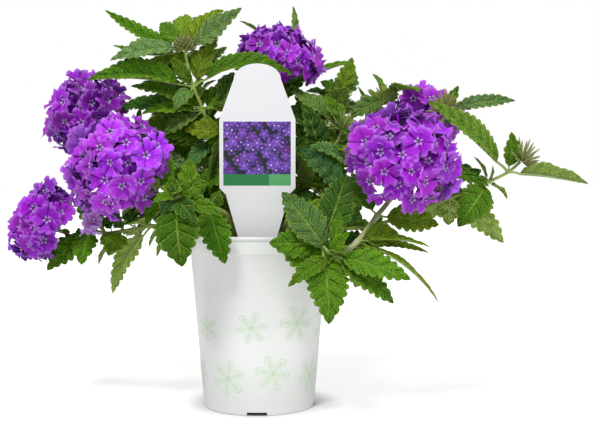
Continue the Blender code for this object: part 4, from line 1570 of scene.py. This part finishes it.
def slim_line(start, end, profile):
    """A calyx or a floret's tube between two points, from its (share, radius in millimetres) profile."""
    return [start.lerp(end, share) for share, _ in profile], [radius * MM for _, radius in profile]


print("fine florets for each packed one:", FINE_PER_PACKED)

# %% [markdown]
# Each floret is a copy of one of the six, leaned a little away from its direction, turned at random and
# sized to its head. Behind it a violet tube runs down into an open calyx, and shut calyces fill the core.

# %% Flower heads


def flower_head(name, bloom):
    piece = painted_shape("fan")
    many = bloom.florets > FEWEST_PACKED
    count = round(bloom.florets * FINE_PER_PACKED) if many else bloom.florets
    calyces, tubes_behind = [], []
    for i, (outward, place, middle) in enumerate(spread(bloom, count)):
        step = INNER_STEP if i % 3 == 1 else OUTER_STEP
        at = middle + (place - middle) * step * dice.uniform(0.94, 1.03)
        tilt = Euler([dice.uniform(-TILT, TILT) for axis in range(3)]).to_matrix()
        looks = tilt @ outward
        size = dice.uniform(0.9, 1.06) * min(1.0, 0.52 + bloom.radius / 40)
        spin = Matrix.Rotation(dice.uniform(0, 2 * pi), 3, "Z")
        turn = looks.to_track_quat("Z", "Y").to_matrix() @ spin
        mesh = dice.choice(FLORETS).copy()
        mesh.transform(Matrix.Translation(at) @ (turn * size).to_4x4())
        add_mesh(piece, mesh, tinted(bloom.tone, 0.34, 0.08))
        base = middle + (at - middle) * 0.12
        throat = at - looks * 1.2 * MM
        mouth = base.lerp(throat, 0.62)
        calyces.append(slim_line(base, mouth, OPEN_CALYX))
        tubes_behind.append(slim_line(mouth, throat, FLORET_TUBE))
    for outward, place, middle in spread(bloom, count, 0.5):
        end = middle + (place - middle) * dice.uniform(0.55, 0.72)
        calyces.append(slim_line(middle, end, SHUT_CALYX))
    middle, looks = seen(*bloom.middle), Vector(bloom.looks).normalized()
    stub = [neck(name)[1] - looks * 0.5 * MM, middle.lerp(neck(name)[1], 0.3), middle]
    add_mesh(piece, tubes(calyces, 6), tinted("calyx"), STEM_SLOT)
    add_mesh(piece, tubes(tubes_behind, 6), tinted(bloom.tone), STEM_SLOT)
    stem_end = tubes([(stub, [radius * MM for radius in STUB_RADII])])
    add_mesh(piece, stem_end, tinted("stem"), STEM_SLOT)
    return finished(f"head_{name}", piece, HEAD_MATERIALS, f"bloom_{name}"), count


for name, bloom in BLOOMS.items():
    made, count = flower_head(name, bloom)
    print(made.name, "florets:", count, "faces:", len(made.data.polygons))
for mesh in FLORETS:
    bpy.data.meshes.remove(mesh)

# %% [markdown]
# The pot was moulded, and it is easiest to make as a turned shape: one profile, from the rim down the
# outside, across the bottom and up the inside, is spun round the axis. The rim and the foot have their
# small roundings in the profile, and the drain notches are cut with boxes.

# %% Turning and cutting
POT_HEIGHT = 125.6 * MM
RIM_RADIUS = 52.0 * MM
FOOT_RADIUS = 40.2 * MM
WALL = 1.0 * MM
WALL_SLOPE = 0.086
COLLAR = POT_HEIGHT - 12.4 * MM
DRAIN_WIDTH = 14.0 * MM
DRAIN_HEIGHT = 2.6 * MM
POT_STEPS = 120
WELD = 0.01 * MM


def wall_radius(height):
    return FOOT_RADIUS + WALL_SLOPE * height


def spun(profile, steps):
    """A bmesh of a profile of (radius, height) points in millimetres, spun round the axis."""
    shape = bmesh.new()
    line = [shape.verts.new((radius * MM, 0, height * MM)) for radius, height in profile]
    edges = [shape.edges.new(pair) for pair in zip(line, line[1:])]
    bmesh.ops.spin(
        shape,
        geom=line + edges,
        cent=(0, 0, 0),
        axis=(0, 0, 1),
        angle=2 * pi,
        steps=steps,
        use_merge=True,
    )
    bmesh.ops.remove_doubles(shape, verts=shape.verts, dist=WELD)
    bmesh.ops.recalc_face_normals(shape, faces=shape.faces)
    return shape


def drilled(shape, boxes):
    """The shape with boxes cut out of it, given by their middles, sizes and turns round the axis."""
    holder = bpy.data.objects.new("cut", bpy.data.meshes.new("cut"))
    shape.to_mesh(holder.data)
    shape.free()
    scene.collection.objects.link(holder)
    cutters = []
    for middle, size, turn in boxes:
        cutter_shape = bmesh.new()
        place = Matrix.Rotation(turn, 4, "Z") @ Matrix.Translation(middle) @ Matrix.Diagonal((*size, 1))
        bmesh.ops.create_cube(cutter_shape, size=1, matrix=place)
        cutter = bpy.data.objects.new("cutter", bpy.data.meshes.new("cutter"))
        cutter_shape.to_mesh(cutter.data)
        cutter_shape.free()
        scene.collection.objects.link(cutter)
        cutters.append(cutter)
        difference = holder.modifiers.new("drain", "BOOLEAN")
        difference.operation = "DIFFERENCE"
        difference.object = cutter
    bpy.context.view_layer.update()
    mesh = bpy.data.meshes.new_from_object(holder.evaluated_get(bpy.context.evaluated_depsgraph_get()))
    for item in [holder, *cutters]:
        bpy.data.objects.remove(item, do_unlink=True)
    return mesh


print("wall radius at the collar in mm:", round(wall_radius(COLLAR) / MM, 1))

# %% [markdown]
# The profile is in millimetres, each point a radius and a height. The wall leans out evenly from the foot
# to the collar, where it steps out under the rim.

# %% Pot
rim, top, collar = RIM_RADIUS / MM, POT_HEIGHT / MM, COLLAR / MM
foot, wall = FOOT_RADIUS / MM, WALL / MM
under_collar = wall_radius(COLLAR) / MM
POT_PROFILE = [
    (rim - 1.6, top - 0.05),
    (rim - 1.0, top),
    (rim - 0.5, top - 0.05),
    (rim - 0.12, top - 0.35),
    (rim, top - 0.8),
    (rim, top - 1.9),
    (rim - 0.15, top - 2.3),
    (under_collar + 1.1, top - 2.9),
    (under_collar + 0.9, collar + 0.8),
    (under_collar + 0.7, collar),
    (under_collar + 0.3, collar - 0.5),
    (under_collar, collar - 1.0),
    (wall_radius(80 * MM) / MM, 80),
    (wall_radius(40 * MM) / MM, 40),
    (wall_radius(2 * MM) / MM, 2.0),
    (foot - 0.02, 0.9),
    (foot - 0.3, 0.3),
    (foot - 0.9, 0.0),
    (0, 0),
    (0, 1.4),
    (foot - wall - 1.2, 1.4),
    (wall_radius(3 * MM) / MM - wall, 3.2),
    (under_collar - wall, collar),
    (rim - 2.1, top - 0.8),
    (rim - 1.6, top - 0.05),
]
DRAINS = 4
DRAIN_SIZE = (0.66 * FOOT_RADIUS, DRAIN_WIDTH, DRAIN_HEIGHT + 2 * MM)
DRAIN_MIDDLE = (0.87 * FOOT_RADIUS, 0, DRAIN_HEIGHT / 2 - MM)
drain_boxes = [(DRAIN_MIDDLE, DRAIN_SIZE, (i - 1) * pi / 2) for i in range(DRAINS)]
pot_shape = bmesh.new()
add_mesh(pot_shape, drilled(spun(POT_PROFILE, POT_STEPS), drain_boxes))
print("faces of the pot:", len(pot_shape.faces))

# %% [markdown]
# The plastic is white and satin, and a little greyer towards the foot, which is painted shade. Its printed
# rosettes are drawn by arithmetic: the angle round the pot and the height give a flat sheet, the sheet is
# cut into cells, and in each cell the distance from its middle is set against the outline of a rosette of
# six leaves, each with a midrib. A random number for each cell turns its rosette and makes it larger or
# smaller.

# %% Pot finish
PRINT_COLUMNS = 8
PRINT_ROW = 34 * MM
PRINT_FOOT = 11 * MM
PRINT_TOP = 79 * MM
FOOT_SHADE_TOP = 50 * MM
LEAVES_IN_ROSETTE = 6
DRIFT = 0.16
pot_finish = Finish("pot_plastic", 0.34, Coat_Weight=0.12)
pot_x, pot_y, pot_z = pot_finish.apart(pot_finish.place())
turned_angle = pot_x.maths("ARCTAN2", pot_x, 0 - pot_y)
sheet_row = (pot_z - PRINT_FOOT) / PRINT_ROW
row_number = sheet_row.maths("FLOOR", sheet_row)
sheet_x = turned_angle * (PRINT_COLUMNS / (2 * pi)) + row_number * 0.5 + 0.1
column = sheet_x.maths("FLOOR", sheet_x)
column_again = column.maths("MODULO", column + 3.0 * PRINT_COLUMNS, float(PRINT_COLUMNS))
cell_number = pot_finish.node("ShaderNodeCombineXYZ", {}, {0: column_again, 1: row_number})
chance = pot_finish.node("ShaderNodeTexWhiteNoise", {}, {"Vector": cell_number}, 1)
for_size, for_turn, for_shift = pot_finish.apart(chance)
cell_x = sheet_x - column - 0.5 + (for_shift - 0.5) * DRIFT
cell_z = sheet_row - row_number - 0.5 + (for_turn - 0.5) * DRIFT
reach = (cell_x * cell_x + cell_z * cell_z) ** 0.5 / (for_size * 0.5 + 0.65)
around = cell_x.maths("ARCTAN2", cell_z, cell_x)
leaf_wave = abs(around.maths("COSINE", around * (LEAVES_IN_ROSETTE / 2) + for_turn * 6.0))
leaf_edge = leaf_wave**0.45 * 0.38
outline = (reach - leaf_edge).line(0.002, 0.018)
ribs = leaf_wave.step(0.98, 0.998) * (reach < 0.33) * (reach > 0.05)
heart = (1 - reach.step(0.04, 0.075)) * 0.7
band = pot_z.step(PRINT_FOOT, PRINT_FOOT + MM) * (1 - pot_z.step(PRINT_TOP - MM, PRINT_TOP))
motif = outline.maths("MAXIMUM", outline, ribs * 0.6)
motif = motif.maths("MAXIMUM", motif, heart) * band
fill = (1 - (reach - leaf_edge).step(-0.12, 0.0)) * band * 0.4
inner_edge, outer_edge = (FOOT_RADIUS - 1.5 * MM) ** 2, (FOOT_RADIUS - 1.0 * MM) ** 2
outside = (pot_x * pot_x + pot_y * pot_y).step(inner_edge, outer_edge)
scuffs = pot_finish.noise(60.0, 6.0)
# Painted shade: inside the foot, near the floor, the plastic is painted near black, so the drain notches
# look dark.
notch_shade = (1 - outside) * pot_z.step(0.05 * MM, 0.2 * MM) * (1 - pot_z.step(3 * MM, 4 * MM))
white = pot_finish.mix(scuffs.step(0.4, 0.8) * 0.25, display(238, 240, 238), display(226, 228, 226))
# Painted shade: the plastic turns greyer towards the foot.
painted_foot_shade = pot_finish.mix((1 - pot_z.step(0.0, FOOT_SHADE_TOP)) * 0.7, white, display(208, 210, 207))
filled = pot_finish.mix(fill * outside, painted_foot_shade, display(196, 222, 184))
printed = pot_finish.mix(motif * 0.55 * outside, filled, display(164, 196, 150))
pot_finish.feed("Base Color", pot_finish.mix(notch_shade, printed, display(22, 17, 13)))
pot_finish.feed("Roughness", scuffs * 0.14 + 0.28)
pot_finish.relief(pot_finish.noise(500.0, 2.0), 0.04 * MM)
pot_piece = finished("nursery_pot", pot_shape, [pot_finish.material], "pot")
pot_piece.data.set_sharp_from_angle(angle=radians(40))
print(pot_piece.name, "faces:", len(pot_piece.data.polygons))

# %% [markdown]
# The potting mix is peat with chips of bark. It is a spun plug whose top is broken up by noise, with small
# stretched balls pressed into it for the chips.

# %% Potting mix
MIX_RADIUS = wall_radius(SOIL_TOP) / MM - 1.7
MIX_STEPS = 72
MIX_RINGS = 14
MIX_HEIGHT = 112.6
CHIPS = 240
mix_profile = [(MIX_RADIUS * i / MIX_RINGS, MIX_HEIGHT) for i in range(MIX_RINGS)]
mix_profile += [(MIX_RADIUS, 111.0), (foot - 2.6, 4.0), (foot - 4.0, 1.9), (0, 1.9)]
mix_shape = spun(mix_profile, MIX_STEPS)
for vertex in mix_shape.verts:
    if vertex.co.z > 110 * MM:
        lump = rough.fractal(vertex.co * 260, 0.8, 2.1, 4)
        lump += rough.fractal(vertex.co * 900, 0.6, 2.2, 2) * 0.4
        vertex.co.z += lump * 1.3 * MM
for i in range(CHIPS):
    far, turn = sqrt(dice.random()) * (MIX_RADIUS - 4) * MM, dice.uniform(0, 2 * pi)
    size = Vector([dice.uniform(0.8, 3.2), dice.uniform(0.6, 1.4), dice.uniform(0.4, 0.9)]) * MM
    angles = [dice.uniform(-0.6, 0.6), dice.uniform(-0.6, 0.6), dice.uniform(0, 2 * pi)]
    lean = Euler(angles).to_matrix().to_4x4()
    height = dice.uniform(MIX_HEIGHT, MIX_HEIGHT + 1) * MM
    place = Matrix.Translation((far * cos(turn), far * sin(turn), height)) @ lean
    stretched = place @ Matrix.Diagonal((*size, 1))
    bmesh.ops.create_icosphere(mix_shape, subdivisions=1, radius=1, matrix=stretched)
for face in mix_shape.faces:
    face.smooth = True

mix_finish = Finish("potting_mix", 0.95, Specular_IOR_Level=0.2)
crumbs = mix_finish.noise(420.0, 6.0)
grains = mix_finish.node("ShaderNodeTexVoronoi", {}, {"Vector": mix_finish.place(), "Scale": 500.0}, 1)
dark = mix_finish.mix(crumbs.step(0.3, 0.7), display(38, 28, 22), display(86, 66, 50))
mix_finish.feed("Base Color", mix_finish.mix(0.25, dark, mix_finish.times(dark, grains)))
mix_finish.relief(crumbs, 0.8 * MM)
mix_piece = finished("peat_and_bark", mix_shape, [mix_finish.material], "soil")
print(mix_piece.name, "faces:", len(mix_piece.data.polygons))

# %% [markdown]
# The label is one stiff sheet of plastic, so its outline is laid out as points, filled, extruded to its
# thickness and lightly bevelled. The crown is a quarter of an ellipse on each side, and below the shoulders
# the sheet tapers to the point of its stake. Widths and heights are in millimetres.

# %% Stake label
LABEL_FRONT = -38.4 * MM
LABEL_THICKNESS = 0.8 * MM
LABEL_MIDDLE = 0.5
CROWN_STEPS = 16
CROWN_HALF, CROWN_FOOT, CROWN_RISE = 16.3, 234.3, 10.7
SHOULDERS = [(26.4, 206.4), (26.4, 158.9), (21.9, 154.3)]
STAKE = [(20.5, 149.0), (13.6, 125.0), (11.6, 112.0), (7.0, 90.0), (0.0, 74.0)]
crown_turns = [i / CROWN_STEPS * pi / 2 for i in range(CROWN_STEPS + 1)]
right_side = [(CROWN_HALF * sin(turn), CROWN_FOOT + CROWN_RISE * cos(turn)) for turn in crown_turns]
right_side += SHOULDERS + STAKE
outline_points = right_side + [(-x, z) for x, z in reversed(right_side[1:-1])]
label_shape = bmesh.new()
ring = [label_shape.verts.new(((LABEL_MIDDLE + x) * MM, LABEL_FRONT, z * MM)) for x, z in outline_points]
face = label_shape.faces.new(ring)
grown = bmesh.ops.extrude_face_region(label_shape, geom=[face])
moved = [item for item in grown["geom"] if isinstance(item, bmesh.types.BMVert)]
bmesh.ops.translate(label_shape, verts=moved, vec=(0, LABEL_THICKNESS, 0))
bmesh.ops.recalc_face_normals(label_shape, faces=label_shape.faces)
rims = [edge for edge in label_shape.edges if edge.calc_face_angle(0) > radians(60)]
bmesh.ops.bevel(
    label_shape,
    geom=rims,
    offset=0.15 * MM,
    segments=2,
    profile=0.5,
    affect="EDGES",
    material=-1,
)
print("faces of the label:", len(label_shape.faces))

# %% [markdown]
# The label is printed on its front alone, with a generic design: a violet panel of small five-petalled
# florets over a green band. Two layers of florets, one shifted against the other, make the panel as full
# as a bed of flowers. Each layer is a Voronoi pattern, whose cells give every floret its middle, its turn
# and its tone.

# %% Label print
PRINTED_FLORETS = 132.0
PRINTED_REACH, PRINTED_HEART = 0.34, 0.14
label_finish = Finish("label_plastic", 0.42)
label_x, label_y, label_z = label_finish.apart(label_finish.place())
LABEL_DEPTH = LABEL_FRONT / MM
SIDE_COLUMNS, SPLIT_COLUMN = (223.3, 290.8), 268.9
PANEL_ROWS = (121.7, 174.2, 185.7)
PANEL_LEFT, PANEL_RIGHT = (seen(column, PANEL_ROWS[0], LABEL_DEPTH).x for column in SIDE_COLUMNS)
PANEL_TOP, PANEL_FOOT, BAND_FOOT = (seen(AXIS_COLUMN, row, LABEL_DEPTH).z for row in PANEL_ROWS)
BAND_SPLIT = seen(SPLIT_COLUMN, PANEL_ROWS[0], LABEL_DEPTH).x
front = label_y < LABEL_FRONT + 0.3 * MM
between = (label_x > PANEL_LEFT) * (label_x < PANEL_RIGHT) * front
panel = between * (label_z < PANEL_TOP) * (label_z > PANEL_FOOT)
green_band = between * (label_z < PANEL_FOOT) * (label_z > BAND_FOOT)


def print_florets(under, shift, darkest, lightest):
    """One layer of printed five-petalled florets over what is under it."""
    sheet = {0: label_x * PRINTED_FLORETS + shift, 1: label_z * PRINTED_FLORETS - shift}
    spot = label_finish.node("ShaderNodeCombineXYZ", {}, sheet)
    cell_inputs = {"Vector": spot, "Scale": 1.0, "Randomness": 0.8}
    cell = label_finish.node("ShaderNodeTexVoronoi", {"voronoi_dimensions": "2D"}, cell_inputs)
    first, second, _ = label_finish.apart(cell.output(1))
    difference = {"operation": "SUBTRACT"}
    offset = label_finish.node("ShaderNodeVectorMath", difference, {0: spot, 1: cell.output(2)})
    across, up, _ = label_finish.apart(offset)
    far = (across * across + up * up) ** 0.5
    swing = far.maths("ARCTAN2", up, across) * 2.5 + first * 6.0
    petal_edge = abs(swing.maths("COSINE", swing)) ** 0.5 * PRINTED_REACH + PRINTED_HEART
    petals = 1 - (far - petal_edge).step(-0.05, 0.02)
    tone = label_finish.mix(second, darkest, lightest)
    lit = label_finish.mix(far.step(0.2, 0.55) * first * 0.6, tone, display(150, 134, 224))
    shown = label_finish.mix(petals, under, lit)
    eye = (1 - far.step(0.03, 0.11)) * (first * 0.8 + 0.2)
    return label_finish.mix(eye, shown, display(222, 220, 244))


drift = label_finish.noise(60.0).step(0.4, 0.6)
ground = label_finish.mix(drift, display(26, 16, 52), display(20, 34, 26))
behind = print_florets(ground, 0.0, display(50, 14, 92), display(80, 32, 136))
bluish, purple = display(80, 56, 156), display(94, 20, 126)
ahead = label_finish.mix(drift, bluish, purple)
picture = print_florets(behind, 0.45, ahead, display(122, 72, 190))
plain = label_finish.mix(label_finish.noise(8.0), display(228, 228, 231), display(233, 233, 235))
greens = label_finish.mix(label_x > BAND_SPLIT, display(30, 122, 66), display(84, 164, 102))
banded = label_finish.mix(green_band, plain, greens)
label_finish.feed("Base Color", label_finish.mix(panel, banded, picture))
label_piece = finished("label_sheet", label_shape, [label_finish.material], "label")
print(label_piece.name, "faces:", len(label_piece.data.polygons))

# %% [markdown]
# Last, the faces of all the shown pieces are counted.

# %% Finish
shown = [item for item in scene.objects if item.type == "MESH" and not item.hide_render]
print("faces in all:", sum(len(item.data.polygons) for item in shown))
